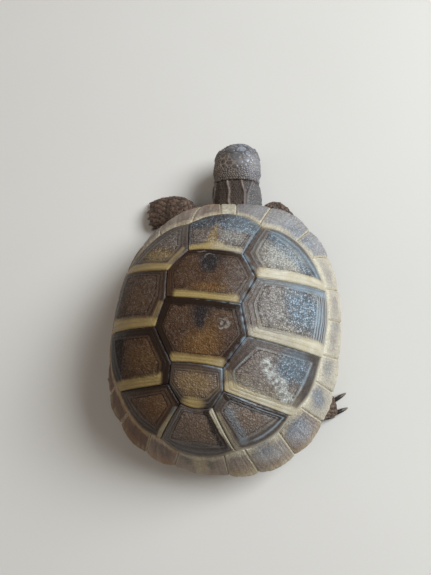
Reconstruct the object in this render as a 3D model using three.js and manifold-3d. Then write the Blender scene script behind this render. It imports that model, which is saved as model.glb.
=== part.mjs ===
// A juvenile Mediterranean spur-thighed tortoise at life size, at rest on its plastron
// with the neck out and the legs spread low at its sides.
//
// Millimetres, +Z up, floor at z = 0. The head points along -Y and the animal's right side
// is -X. The origin is on the flat underside of the plastron, under the widest section of
// the shell. Sizes below are written in the animal's own terms, [right, forward, up], and
// at() turns them into the model's frame.
import * as THREE from 'three';
import { mergeVertices } from 'three/addons/utils/BufferGeometryUtils.js';
import Module from 'manifold-3d';

const wasm = await Module();
wasm.setup();

// ---------------------------------------------------------------- driving dimensions
const SHELL_LENGTH = 56;        // straight carapace length
const HALF_WIDTH = 24.5;        // widest half-section of the carapace
const FRONT = 29.0;             // from the widest section to the front rim
const REAR = SHELL_LENGTH - FRONT;
const APEX = 26.6;              // top of the dome
const OUTLINE_POWER = 2.4;      // roundness of the shell seen from above
const RIM_SIDE = 6.6;           // height of the rim over the bridge
const RIM_FRONT = 9.6;          // height of the rim over the neck
const RIM_REAR = 8.2;           // height of the rim over the tail
const SCUTE = 1.2;              // thickness of a shell plate
const SEAM = 0.24;              // width of the open seam between plates
const BULGE = 0.28;             // how far a plate's middle stands over its seams
const CLEAR = 0.35;             // space between the plates and the flesh

const HEAD_WIDTH = 10.8;
const HEAD_HEIGHT = 8.0;
const NOSE = 44.4;              // forward reach of the snout
const NAPE = 34.9;              // where the head ends and the neck begins
const NECK_WIDTH = 10.6;
const EYE_RADIUS = 1.15;
const CLAW_LENGTH = 2.6;

// ---------------------------------------------------------------- small mathematics
const mix = (a, b, t) => a + (b - a) * t;
const clamp = (v, a, b) => Math.min(b, Math.max(a, v));
const smooth = (a, b, v) => { const t = clamp((v - a) / (b - a), 0, 1); return t * t * (3 - 2 * t); };
const deg = Math.PI / 180;
const at = (right, forward, up) => new THREE.Vector3(-right, -forward, up);

// Smooth curve through a short table of [station, value, ...] rows, stations all rising or
// all falling; column picks the value.
function follow(table, u, column = 1) {
  const n = table.length, way = Math.sign(table[1][0] - table[0][0]);
  if ((u - table[0][0]) * way <= 0) return table[0][column];
  if ((u - table[n - 1][0]) * way >= 0) return table[n - 1][column];
  let i = 0;
  while ((u - table[i + 1][0]) * way > 0) i++;
  const row = (k) => [table[k][0], table[k][column]];
  const [u1, v1] = row(i), [u2, v2] = row(i + 1);
  const [u0, v0] = row(Math.max(0, i - 1)), [u3, v3] = row(Math.min(n - 1, i + 2));
  const t = (u - u1) / (u2 - u1);
  const m1 = i > 0 ? (v2 - v0) / (u2 - u0) * (u2 - u1) : v2 - v1;
  const m2 = i + 2 < n ? (v3 - v1) / (u3 - u1) * (u2 - u1) : v2 - v1;
  const t2 = t * t, t3 = t2 * t;
  return (2 * t3 - 3 * t2 + 1) * v1 + (t3 - 2 * t2 + t) * m1 + (3 * t2 - 2 * t3) * v2 + (t3 - t2) * m2;
}

// ---------------------------------------------------------------- the shell's surface
// Plan directions are degrees from the animal's right, +90 at the nuchal, -90 at the tail.
function outline(angle) {
  const c = Math.abs(Math.cos(angle * deg)), s = Math.sin(angle * deg);
  const a = s > 0 ? FRONT : REAR;
  return ((c / HALF_WIDTH) ** OUTLINE_POWER + (Math.abs(s) / a) ** OUTLINE_POWER) ** (-1 / OUTLINE_POWER);
}
function rimHeight(angle) {
  const s = Math.sin(angle * deg), w = Math.abs(s) ** 3;
  return mix(RIM_SIDE, s > 0 ? RIM_FRONT : RIM_REAR, w);
}
// Height over the rim, as a share of the dome's height, at shares of the plan radius.
const PROFILE_SIDE = [[0, 1], [0.15, 0.990], [0.3, 0.957], [0.45, 0.895], [0.6, 0.797], [0.7, 0.697], [0.78, 0.590],
  [0.84, 0.475], [0.885, 0.347], [0.94, 0.182], [1, 0]];
const PROFILE_FRONT = [[0, 1], [0.15, 0.990], [0.3, 0.955], [0.45, 0.885], [0.6, 0.752], [0.7, 0.626], [0.8, 0.470],
  [0.88, 0.305], [0.94, 0.163], [1, 0]];
const PROFILE_REAR = [[0, 1], [0.15, 0.991], [0.3, 0.965], [0.45, 0.905], [0.6, 0.795], [0.7, 0.682], [0.8, 0.520],
  [0.87, 0.358], [0.94, 0.166], [1, 0]];
// Height of the outer surface over the plan point (x right, y forward).
function domeHeight(x, y) {
  const r = Math.hypot(x, y);
  if (r < 1e-6) return APEX;
  const angle = Math.atan2(y, x) / deg;
  const s = Math.min(1, r / outline(angle)), w = Math.abs(y / r) ** 3;
  const zr = mix(7.4, rimHeight(angle), smooth(0, 0.6, s));
  return zr + (APEX - zr) * mix(follow(PROFILE_SIDE, s), follow(y > 0 ? PROFILE_FRONT : PROFILE_REAR, s), w);
}
function domeNormal(x, y) {
  const r = Math.hypot(x, y), h = 0.05;
  const limit = 0.985 * outline(Math.atan2(y, x) / deg);
  const k = r > limit ? limit / r : 1;
  const X = x * k, Y = y * k;
  const dx = (domeHeight(X + h, Y) - domeHeight(X - h, Y)) / (2 * h);
  const dy = (domeHeight(X, Y + h) - domeHeight(X, Y - h)) / (2 * h);
  return new THREE.Vector3(-dx, -dy, 1).normalize();
}
// A point on the dome, moved along the surface normal by lift (down into it where negative).
function onDome(x, y, lift = 0) {
  const n = domeNormal(x, y);
  return [x + n.x * lift, y + n.y * lift, domeHeight(x, y) + n.z * lift];
}

// ---------------------------------------------------------------- the pattern of plates
// Seam between the marginals and the plates above them: [plan direction, share of the
// outline's radius on the right, the same on the left].
const UPPER_SEAM = [[90, 0.860, 0.860], [81, 0.838, 0.826], [71.4, 0.797, 0.772], [62, 0.840, 0.786], [50, 0.872, 0.792],
  [38, 0.889, 0.812], [27, 0.904, 0.850], [15, 0.902, 0.880], [0, 0.884, 0.870], [-12, 0.866, 0.856], [-25, 0.855, 0.842],
  [-39.3, 0.814, 0.796], [-49, 0.826, 0.806], [-60, 0.828, 0.820], [-71.3, 0.824, 0.814], [-80, 0.860, 0.864], [-90, 0.881, 0.881]];
const mirrored = (angle) => { const a = ((angle + 90) % 360 + 360) % 360 - 90; return a > 90 ? [180 - a, 2] : [a, 1]; };
const seamShare = (angle) => follow(UPPER_SEAM, ...mirrored(angle));
const onSeam = (angle) => {
  const r = seamShare(angle) * outline(angle);
  return [r * Math.cos(angle * deg), r * Math.sin(angle * deg)];
};
// Corners of the vertebral row: [half width, forward, sideways shift of the pair].
const ROW = {
  v12: [5.3, 14.55, 0.12], v2wide: [8.5, 10.1, 0], v23: [7.12, 4.78, -0.59], v3wide: [8.61, -0.85, -0.36],
  v34: [4.75, -6.98, -0.08], v4wide: [5.03, -10.88, 0.07], v45: [2.98, -14.0, 0.37],
};
const BOW = { v12: 0.5, v23: 0.15, v34: 0.3, v45: -0.6 };   // how far the cross seams bow forward
const SEAM_ANGLE = { v1: 71.4, c12: 27, c23: -6.4, c34: -39.3, v5: -71.3 };
// Seams between the marginals, front to back: [direction at the rim and at the upper seam
// on the right, the same two on the left].
const MARGINAL_SEAMS = [[89.6, 86.4, 83.4, 86.6], [75, 72.6, 75, 73], [56.6, 54.4, 56.6, 55], [43.2, 44.4, 43.2, 44.2],
  [28.4, 29, 28.4, 29], [13.7, 14, 13.7, 14], [-3.8, -4.5, -3.8, -4.5], [-19.2, -18.4, -19.2, -18.8], [-32.6, -32.9, -32.3, -35.6],
  [-50.2, -48.6, -46.2, -50.4], [-66.5, -66.9, -63.2, -65.8], [-79.1, -77.4, -77.1, -80.6]];
// Rim standing outside (or inside) the plain outline: [plan direction, right, left].
const FLARE = [[90, 0, 0], [76, 0.4, -0.1], [66, 0.8, -0.25], [57, 0.5, -0.35], [48, 0.45, -0.3], [38, 0.1, -0.1], [20, 0, 0],
  [-15, 0, 0], [-26, 0.05, 0.3], [-36, 0.1, 0.65], [-47, 0.15, 0.5], [-57, 0.2, 0.5], [-68, 0.25, 0.4], [-80, 0.2, 0.2], [-90, 0.2, 0.2]];
const flare = (angle) => follow(FLARE, ...mirrored(angle));
// How far each rim plate's edge stands out between its seams, front to back.
const SCALLOP = [0.0, 0.2, 0.3, 0.25, 0.2, 0.15, 0.12, 0.2, 0.35, 0.55, 0.6, 0.45, 0.35];

// ---------------------------------------------------------------- builders of solids
function geometryOf(points, faces) {
  let volume = 0;
  for (const [a, b, c] of faces) volume += points[a].dot(new THREE.Vector3().crossVectors(points[b], points[c]));
  const index = [];
  for (const [a, b, c] of faces) index.push(a, volume < 0 ? c : b, volume < 0 ? b : c);
  const g = new THREE.BufferGeometry();
  g.setAttribute('position', new THREE.Float32BufferAttribute(points.flatMap((p) => [p.x, p.y, p.z]), 3));
  g.setIndex(index);
  return g;
}
// Rings of equal count joined in order, closed at both ends by a fan or by a given point.
function loft(rings, startPoint = null, endPoint = null) {
  const n = rings[0].length, points = rings.flat().map((p) => p.clone()), faces = [];
  for (let j = 0; j + 1 < rings.length; j++) for (let i = 0; i < n; i++) {
    const a = j * n + i, b = j * n + (i + 1) % n, c = a + n, d = b + n;
    faces.push([a, b, d], [a, d, c]);
  }
  const middle = (ring) => ring.reduce((s, p) => s.add(p), new THREE.Vector3()).multiplyScalar(1 / n);
  points.push(startPoint ?? middle(rings[0]), endPoint ?? middle(rings[rings.length - 1]));
  const s = points.length - 2, e = points.length - 1, last = (rings.length - 1) * n;
  for (let i = 0; i < n; i++) {
    const k = (i + 1) % n;
    faces.push([s, k, i], [e, last + i, last + k]);
  }
  return geometryOf(points, faces);
}
// Sections joined in order, each end closed flat.
function loftFlat(sections, flat) {
  const n = sections[0].length, points = sections.flat().map((p) => p.clone()), faces = [];
  for (let j = 0; j + 1 < sections.length; j++) for (let i = 0; i < n; i++) {
    const a = j * n + i, b = j * n + (i + 1) % n, c = a + n, d = b + n;
    faces.push([a, b, d], [a, d, c]);
  }
  const shift = (sections.length - 1) * n;
  let cap = THREE.ShapeUtils.triangulateShape(flat[0], []);
  // wound the same way as the section's own order
  const area = THREE.ShapeUtils.area(flat[0]);
  for (const [a, b, c] of cap) {
    const t = (flat[0][b].x - flat[0][a].x) * (flat[0][c].y - flat[0][a].y)
      - (flat[0][b].y - flat[0][a].y) * (flat[0][c].x - flat[0][a].x);
    const same = (t > 0) === (area > 0);
    faces.push(same ? [a, c, b] : [a, b, c]);
  }
  cap = THREE.ShapeUtils.triangulateShape(flat[1], []);
  const area2 = THREE.ShapeUtils.area(flat[1]);
  for (const [a, b, c] of cap) {
    const t = (flat[1][b].x - flat[1][a].x) * (flat[1][c].y - flat[1][a].y)
      - (flat[1][b].y - flat[1][a].y) * (flat[1][c].x - flat[1][a].x);
    const same = (t > 0) === (area2 > 0);
    faces.push(same ? [shift + a, shift + b, shift + c] : [shift + a, shift + c, shift + b]);
  }
  return geometryOf(points, faces);
}
const toManifold = (geometry) => {
  const g = geometry.clone();
  g.deleteAttribute('normal'); g.deleteAttribute('uv');
  const m = mergeVertices(g, 1e-4);
  return new wasm.Manifold(new wasm.Mesh({
    numProp: 3, vertProperties: new Float32Array(m.attributes.position.array), triVerts: new Uint32Array(m.index.array),
  }));
};
const fromManifold = (solid) => {
  const m = solid.getMesh(), g = new THREE.BufferGeometry();
  const xyz = new Float32Array(m.numVert * 3);
  for (let i = 0; i < m.numVert; i++) for (let k = 0; k < 3; k++) xyz[i * 3 + k] = m.vertProperties[i * m.numProp + k];
  g.setAttribute('position', new THREE.BufferAttribute(xyz, 3));
  g.setIndex([...m.triVerts]);
  return g;
};

// A shell plate: the plan polygon's edge points, drawn in by half a seam, then lifted on to
// the dome as an outer and an inner face.
function plate(edge) {
  const n = edge.length;
  let turn = 0;
  for (let i = 0; i < n; i++) {
    const [x0, y0] = edge[i], [x1, y1] = edge[(i + 1) % n];
    turn += x0 * y1 - x1 * y0;
  }
  const sign = turn > 0 ? 1 : -1;
  const drawn = edge.map((p, i) => {
    const a = edge[(i + n - 1) % n], b = edge[(i + 1) % n];
    const u = [p[0] - a[0], p[1] - a[1]], v = [b[0] - p[0], b[1] - p[1]];
    const lu = Math.hypot(...u), lv = Math.hypot(...v);
    const nu = [-u[1] / lu * sign, u[0] / lu * sign], nv = [-v[1] / lv * sign, v[0] / lv * sign];
    const m = [nu[0] + nv[0], nu[1] + nv[1]], lm = Math.hypot(...m) || 1;
    const reach = SEAM / 2 / Math.max(0.5, (m[0] * nu[0] + m[1] * nu[1]) / lm);
    // a plan distance shrinks where the dome is steep
    const steep = Math.max(0.42, domeNormal(p[0], p[1]).z);
    return [p[0] + m[0] / lm * reach * steep, p[1] + m[1] / lm * reach * steep];
  });
  const cx = drawn.reduce((s, p) => s + p[0], 0) / n, cy = drawn.reduce((s, p) => s + p[1], 0) / n;
  const ring = (t, lift) => drawn.map(([x, y]) => at(...onDome(mix(cx, x, t), mix(cy, y, t), lift)));
  const raise = (t) => BULGE * (1 - t * t);
  return loft([ring(0.34, raise(0.34)), ring(0.7, raise(0.7)), ring(1, 0), ring(1, -SCUTE), ring(0.55, -SCUTE)],
    at(...onDome(cx, cy, BULGE)), at(...onDome(cx, cy, -SCUTE)));
}
const straight = (a, b, steps, bow = 0) => Array.from({ length: steps }, (_, i) => {
  const t = i / steps, k = 4 * t * (1 - t) * bow;
  return [mix(a[0], b[0], t), mix(a[1], b[1], t) + k];
});
const arc = (a0, a1, steps) => Array.from({ length: steps }, (_, i) => onSeam(mix(a0, a1, i / steps)));

// Rim section in the upright plane at a plan angle: [out, up] points, outer face first.
function rimSection(angle, { draw = SEAM / 2, grow = 0, scallop = 0 } = {}) {
  const R = outline(angle), zr = rimHeight(angle);
  const c = Math.cos(angle * deg), s = Math.sin(angle * deg);
  const bridge = smooth(34, 26, angle > 90 ? 180 - angle : angle) * smooth(-25, -15, angle > 90 ? 180 - angle : angle);
  const s0 = seamShare(angle) + (draw - grow) * 0.62 / R;
  const rows = [];
  const steps = [0, 0.3, 0.6, 0.85, 1];
  for (const t of steps) {
    const share = mix(s0, 1, t), r = share * R;
    const lift = grow + BULGE * 0.5 * Math.sin(Math.PI * t);
    const p = onDome(r * c, r * s, lift);
    rows.push([Math.hypot(p[0], p[1]) + scallop * t * t, p[2]]);
  }
  const under = mix(3.6, 2.1, bridge) + grow, drop = mix(-0.15, 1.1, bridge);
  rows.push([R - 0.35 + scallop + grow, zr - 0.55 - grow]);
  rows.push([R - under, zr - drop - grow]);
  rows.push([R - under - mix(0.3, 0.75, bridge) - grow, zr - drop + 1.15 + grow]);
  const q = onDome(s0 * R * c, s0 * R * s, -SCUTE - grow);
  rows.push([Math.hypot(q[0], q[1]), q[2]]);
  return rows;
}
const placed = (angle, rows) => rows.map(([r, z]) => at(r * Math.cos(angle * deg), r * Math.sin(angle * deg), z));
// A plate of the rim between two seams, each given as [direction at the rim, at the top].
function rimPlate(seamA, seamB, scallop, steps = 3) {
  const sections = [], flats = [];
  const way = Math.sign(seamB[0] - seamA[0]), cut = (SEAM / 2) / HALF_WIDTH / deg * 0.92 * way;
  for (let k = 0; k <= steps; k++) {
    const u = k / steps, atRim = mix(seamA[0] + cut, seamB[0] - cut, u), atTop = mix(seamA[1] + cut, seamB[1] - cut, u);
    const stand = scallop * (Math.sin(Math.PI * mix(0.12, 0.88, u)) - 0.37);
    // each row of the section is taken in its own direction, so the plate's ends may slant
    const share = [0, 0.3, 0.6, 0.85, 1, 1, 0.75, 0.6, 0];
    const rows = share.map((t, i) => rimSection(mix(atTop, atRim, t), { scallop: stand + flare(mix(atTop, atRim, t)) })[i]);
    sections.push(rows.map(([r, z], i) => placed(mix(atTop, atRim, share[i]), [[r, z]])[0]));
    if (k === 0 || k === steps) flats.push(rows.map(([r, z]) => new THREE.Vector2(r, z)));
  }
  return loftFlat(sections, flats);
}
// The whole rim as one ring, slightly fuller, used only to trim what passes under it.
function rimCutter(grow) {
  const steps = 72, rings = [];
  for (let k = 0; k < steps; k++) {
    const angle = -90 + 360 * k / steps;
    rings.push(placed(angle, rimSection(angle, { draw: 0, grow, scallop: 0.3 })));
  }
  const n = rings[0].length, points = rings.flat(), faces = [];
  for (let j = 0; j < steps; j++) for (let i = 0; i < n; i++) {
    const a = j * n + i, b = j * n + (i + 1) % n, c = ((j + 1) % steps) * n + i, d = ((j + 1) % steps) * n + (i + 1) % n;
    faces.push([a, b, d], [a, d, c]);
  }
  return geometryOf(points, faces);
}

// ---------------------------------------------------------------- plastron
const PLASTRON_FRONT = 26.2, PLASTRON_REAR = -23.6, FLOOR_HALF = 13.2;
const LOBES = [[26.2, 4.6], [24.6, 6.6], [21, 10.2], [16.5, 13.4], [10, 15.5], [0, 16], [-8, 15.4], [-13, 14.2],
  [-18, 12.4], [-22, 8.6], [-23.6, 6.2]];
const bridgeShare = (y) => smooth(15.2, 11.6, y) * smooth(-11.2, -8.0, y);
function plastronEdge(y) {
  // the bridge reaches the under-lip of the rim plates
  const lobe = follow(LOBES, y);
  const k = clamp(Math.abs(y) / (y > 0 ? FRONT : REAR), 0, 1);
  const wide = HALF_WIDTH * (1 - k ** OUTLINE_POWER) ** (1 / OUTLINE_POWER) - 2.45;
  return mix(lobe, wide, bridgeShare(y));
}
function plastronHeight(x, y) {
  const e = plastronEdge(y), b = bridgeShare(y);
  const t = clamp((Math.abs(x) - FLOOR_HALF * mix(0.8, 1, b)) / Math.max(0.5, e - FLOOR_HALF * mix(0.8, 1, b)), 0, 1);
  return mix(0.35, RIM_SIDE - 1.35, b) * t ** mix(2, 1.55, b);
}
function plastron(grow = 0) {
  const across = 12, along = 16, up = [], down = [];
  for (let j = 0; j <= along; j++) {
    const v = j / along, y0 = mix(PLASTRON_REAR, PLASTRON_FRONT, v), e = plastronEdge(y0) + grow;
    const a = [], b = [];
    for (let i = 0; i <= across; i++) {
      const u = mix(-1, 1, i / across);
      // notch between the anal plates, and a short step where the gulars end
      let y = y0;
      y += smooth(0.16, 0, v) * 2.6 * (1 - Math.abs(u)) ** 1.3;
      y -= smooth(0.88, 1, v) * 1.3 * Math.abs(u) ** 2;
      if (grow) y += (v > 0.5 ? 1 : -1) * grow * smooth(0.3, 0.5, Math.abs(v - 0.5));
      const x = u * e, z = plastronHeight(x, y0), slope = (z - plastronHeight(x - Math.sign(u) * 0.05, y0)) / 0.05;
      const k = Math.hypot(1, slope), sx = -Math.sign(u) * slope / k, sz = 1 / k;
      a.push(at(x - sx * grow, y, z - sz * grow));
      b.push(at(x + sx * (SCUTE + grow), y, z + sz * (SCUTE + grow)));
    }
    down.push(a); up.push(b);
  }
  const n = across + 1, points = [...down.flat(), ...up.flat()], faces = [], half = down.length * n;
  for (let j = 0; j < along; j++) for (let i = 0; i < across; i++) {
    const a = j * n + i, b = a + 1, c = a + n, d = c + 1;
    faces.push([a, b, d], [a, d, c], [half + a, half + d, half + b], [half + a, half + c, half + d]);
  }
  const wall = (a, b) => faces.push([a, half + b, b], [a, half + a, half + b]);
  for (let i = 0; i < across; i++) { wall(i, i + 1); wall(along * n + i + 1, along * n + i); }
  for (let j = 0; j < along; j++) { wall((j + 1) * n, j * n); wall(j * n + across, (j + 1) * n + across); }
  return geometryOf(points, faces);
}

// ---------------------------------------------------------------- trunk
// Flesh between the plates: a loop of points round the body at each level, top to bottom.
function trunk(grow = 0) {
  const around = 34, rings = [];
  const level = (fn) => Array.from({ length: around }, (_, i) => {
    const angle = -90 + 360 * i / around;
    const [r, z] = fn(angle, outline(angle));
    return at(r * Math.cos(angle * deg), r * Math.sin(angle * deg), z);
  });
  const bridgeAt = (angle) => {
    const y = outline(angle) * Math.sin(angle * deg);
    return bridgeShare(y);
  };
  const under = -(SCUTE + CLEAR + 0.15) + grow;
  for (const share of [0.3, 0.55, 0.74]) rings.push(level((angle, R) => {
    const p = onDome(share * R * Math.cos(angle * deg), share * R * Math.sin(angle * deg), under);
    return [Math.hypot(p[0], p[1]), p[2]];
  }));
  // shoulder of the flesh, just under the seam above the marginals
  rings.push(level((angle, R) => {
    const share = seamShare(angle) - 0.015;
    const p = onDome(share * R * Math.cos(angle * deg), share * R * Math.sin(angle * deg), under);
    return [Math.hypot(p[0], p[1]), p[2]];
  }));
  const inset = (angle) => mix(5.4, 3.7, bridgeAt(angle));
  rings.push(level((angle, R) => [R - inset(angle) + grow, mix(11.2, 8.6, bridgeAt(angle))]));
  rings.push(level((angle, R) => [R - inset(angle) - 0.5 + grow, mix(7.2, 7.2, bridgeAt(angle))]));
  rings.push(level((angle, R) => [R - inset(angle) - mix(1.8, 2.3, bridgeAt(angle)) + grow, mix(3.6, 5.3, bridgeAt(angle))]));
  const sole = SCUTE + CLEAR - grow;
  rings.push(level((angle, R) => {
    const r = Math.min(R - inset(angle) - 4.2, mix(18.5, 13.2, Math.abs(Math.cos(angle * deg)) ** 1.5)) + grow;
    return [r, sole + 0.1];
  }));
  rings.push(level((angle, R) => [0.5 * R, sole]));
  return loft(rings, at(0, 0, APEX + under), at(0, 0, sole));
}

// ---------------------------------------------------------------- limbs, neck, head, tail
// A tapering limb through stations [right, forward, up, half breadth, half depth]; the
// breadth lies level across the limb's run, and nothing goes under the floor.
function limb(stations, { sides = 12, steps = 7, squareness = 2.3, tip = 0.55 } = {}) {
  const path = new THREE.CatmullRomCurve3(stations.map((s) => new THREE.Vector3(s[0], s[1], s[2])), false, 'centripetal');
  const size = (t, k) => {
    const u = t * (stations.length - 1), i = Math.min(stations.length - 2, Math.floor(u));
    return mix(stations[i][k], stations[i + 1][k], smooth(0, 1, u - i));
  };
  const rings = [];
  const put = (t, scale, push) => {
    const p = path.getPoint(t), d = path.getTangent(t);
    const side = new THREE.Vector3(d.y, -d.x, 0).normalize(), up = new THREE.Vector3().crossVectors(side, d).normalize();
    if (up.z < 0) up.negate();
    const ring = [];
    for (let i = 0; i < sides; i++) {
      const a = 2 * Math.PI * i / sides, c = Math.cos(a), s = Math.sin(a);
      const k = (Math.abs(c) ** squareness + Math.abs(s) ** squareness) ** (-1 / squareness) * scale;
      const q = p.clone().addScaledVector(side, c * k * size(t, 3)).addScaledVector(up, s * k * size(t, 4)).addScaledVector(d, push);
      ring.push(at(q.x, q.y, Math.max(0, q.z)));
    }
    rings.push(ring);
  };
  for (let k = 0; k <= steps; k++) put(k / steps, 1, 0);
  put(1, 0.82, tip); put(1, 0.45, tip * 1.5);
  return loft(rings);
}
// A claw: a short curved cone from its root along heading (degrees from the right).
function claw(right, forward, up, heading, length = CLAW_LENGTH, radius = 0.5) {
  const c = Math.cos(heading * deg), s = Math.sin(heading * deg), rings = [];
  for (const [t, k] of [[-0.35, 1], [0.3, 0.92], [0.75, 0.5]]) {
    const r = radius * k, z = Math.max(r + 0.02, up - (t > 0 ? t * t * 0.75 : 0));
    rings.push(Array.from({ length: 6 }, (_, i) => {
      const a = 2 * Math.PI * i / 6;
      return at(right + c * t * length - s * r * Math.cos(a), forward + s * t * length + c * r * Math.cos(a), z + r * Math.sin(a));
    }));
  }
  const end = at(right + c * length, forward + s * length, Math.max(0.06, up - 0.85));
  return loft(rings, null, end);
}
// A leg with its claws, each placed from the end of the foot by [ahead, to the left, turn].
function leg(stations, claws, length = CLAW_LENGTH) {
  let solid = toManifold(limb(stations));
  const n = stations.length, [x, y, z] = stations[n - 1], [px, py] = stations[n - 2];
  const heading = Math.atan2(y - py, x - px) / deg;
  const c = Math.cos(heading * deg), s = Math.sin(heading * deg);
  for (const [ahead, over, turn] of claws) {
    solid = solid.add(toManifold(claw(x + c * ahead - s * over, y + s * ahead + c * over, z * 0.75, heading + turn, length)));
  }
  return solid;
}

const FRONT_LEFT = [[-8.5, 18.6, 6.0, 3.3, 3.3], [-10.5, 24.5, 5.0, 3.4, 3.1], [-13.9, 28.2, 3.6, 3.7, 2.7], [-17.7, 28.6, 2.4, 3.7, 2.3], [-20.8, 28.1, 1.6, 3.3, 2.0]];
const FRONT_RIGHT = [[8.2, 18.4, 6.0, 3.3, 3.3], [7.7, 23.6, 5.2, 3.2, 3.0], [7.9, 29.15, 3.9, 2.8, 2.7], [11.0, 26.0, 2.7, 3.0, 2.4], [12.9, 22.0, 1.7, 3.1, 2.1]];
const HIND_RIGHT = [[9.5, -16.4, 6.0, 3.7, 3.7], [14.8, -16.0, 5.0, 3.6, 3.3], [19.6, -12.2, 3.1, 3.3, 2.8], [23.8, -10.9, 1.65, 2.2, 2.05]];
const HIND_LEFT = HIND_RIGHT.map(([x, y, z, w, h], i) => [-x + 0.25 * i, y - 0.1 * i, z, w, h]);
const FRONT_CLAWS = [[-0.1, -2.85, -18], [0.35, -1.2, 2], [0.35, 0.3, 5], [0, 1.6, 12], [-0.6, 2.65, 22]];
const HIND_CLAWS = [[-1.5, 2.2, 42], [1.15, 1.05, 22], [0.8, -1.6, 14], [-2.3, -2.2, -4]];
const flip = (claws) => claws.map(([ahead, over, turn]) => [ahead, -over, -turn]);

// Head: stations from the nape to the snout [forward, centre height, half width, half height].
const HEAD_AXIS = -5;           // the head turns a little to the animal's left, degrees
const HEAD_STATIONS = [[0, 6.7, 0.83, 0.84], [0.08, 6.8, 0.94, 0.93], [0.2, 6.9, 1.0, 0.99], [0.36, 7.0, 0.985, 1.0],
  [0.52, 6.95, 0.935, 0.965], [0.67, 6.8, 0.85, 0.9], [0.79, 6.6, 0.73, 0.79], [0.89, 6.35, 0.56, 0.64], [0.96, 6.2, 0.37, 0.46]];
const headPoint = (share, right, up) => {
  const along = share * (NOSE - NAPE), c = Math.cos(HEAD_AXIS * deg), s = Math.sin(HEAD_AXIS * deg);
  return [-0.9 + right * c + along * s, NAPE - right * s + along * c, up];
};
function head() {
  const sides = 20, rings = HEAD_STATIONS.map(([share, mid, w, h]) => Array.from({ length: sides }, (_, i) => {
    const a = 2 * Math.PI * i / sides, c = Math.cos(a), s = Math.sin(a);
    const p = s > 0 ? 2.35 : 2.1;
    const k = (Math.abs(c) ** p + Math.abs(s) ** p) ** (-1 / p);
    const flat = s > 0 ? 0.94 : 0.97;
    return at(...headPoint(share, c * k * w * HEAD_WIDTH / 2, mid + s * k * h * flat * HEAD_HEIGHT / 2));
  }));
  return loft(rings, null, at(...headPoint(1, 0, 6.1)));
}
const eyeCentre = (side) => headPoint(0.66, side * (HEAD_WIDTH / 2 * 0.845 - EYE_RADIUS * 0.88), 7.3);
function ball(centre, radius, across = 12, down = 7) {
  const g = new THREE.SphereGeometry(radius, across, down);
  g.rotateX(Math.PI / 2);
  const p = at(...centre);
  g.translate(p.x, p.y, p.z);
  return g;
}
// Neck: loose skin, widest in a collar behind the head.
function neck() {
  const stations = [[19.0, 0.0, 6.0, 5.1, 3.9], [24.0, -0.1, 5.8, 5.25, 3.75], [28.5, -0.3, 5.75, 5.45, 3.65],
    [31.5, -0.6, 6.1, 5.6, 3.85], [33.5, -0.85, 6.5, 5.5, 4.0], [34.6, -0.9, 6.7, 4.8, 3.6]];
  const sides = 20;
  const rings = stations.map(([y, x, z, w, h]) => Array.from({ length: sides }, (_, i) => {
    const a = 2 * Math.PI * i / sides, c = Math.cos(a), s = Math.sin(a);
    const k = (Math.abs(c) ** 2.2 + Math.abs(s) ** 2.2) ** (-1 / 2.2);
    return at(x + c * k * w * NECK_WIDTH / 10.6, y + (y > 34 ? -c * k * w * Math.sin(HEAD_AXIS * deg) : 0), z + s * k * h);
  }));
  return loft(rings);
}
function tail() {
  const stations = [[0.0, -17.5, 4.6, 3.0, 2.7], [0.3, -20.6, 4.2, 2.6, 2.3], [1.0, -23.0, 3.2, 1.8, 1.6], [2.2, -24.8, 2.2, 1.05, 0.95], [3.4, -25.8, 1.6, 0.5, 0.5]];
  return toManifold(limb(stations, { sides: 10, steps: 8, squareness: 2, tip: 0.25 }));
}

// ---------------------------------------------------------------- materials
const tint = (r, g, b, roughness = 0.6, metalness = 0) =>
  new THREE.MeshStandardMaterial({ color: new THREE.Color(r, g, b), roughness, metalness });
const plateTint = tint(0.22, 0.17, 0.11, 0.45), rimTint = tint(0.42, 0.34, 0.24, 0.5), underTint = tint(0.55, 0.45, 0.24, 0.5);
const skinTint = tint(0.11, 0.09, 0.07, 0.75), eyeTint = tint(0.01, 0.008, 0.006, 0.1);

const tortoise = new THREE.Group();
const add = (name, geometry, material) => {
  const mesh = new THREE.Mesh(geometry, material);
  mesh.name = name;
  tortoise.add(mesh);
};

// ---------------------------------------------------------------- carapace
const right = (key) => [ROW[key][0] + ROW[key][2], ROW[key][1]];
const left = (key) => [-ROW[key][0] + ROW[key][2], ROW[key][1]];
const rowEdge = (side, keys, steps = 3) => {
  const out = [];
  for (let i = 0; i + 1 < keys.length; i++) out.push(...straight(side(keys[i]), side(keys[i + 1]), steps));
  return out;
};
const V1R = onSeam(SEAM_ANGLE.v1), V5R = onSeam(SEAM_ANGLE.v5), V1L = onSeam(180 - SEAM_ANGLE.v1), V5L = onSeam(-180 - SEAM_ANGLE.v5);

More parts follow.
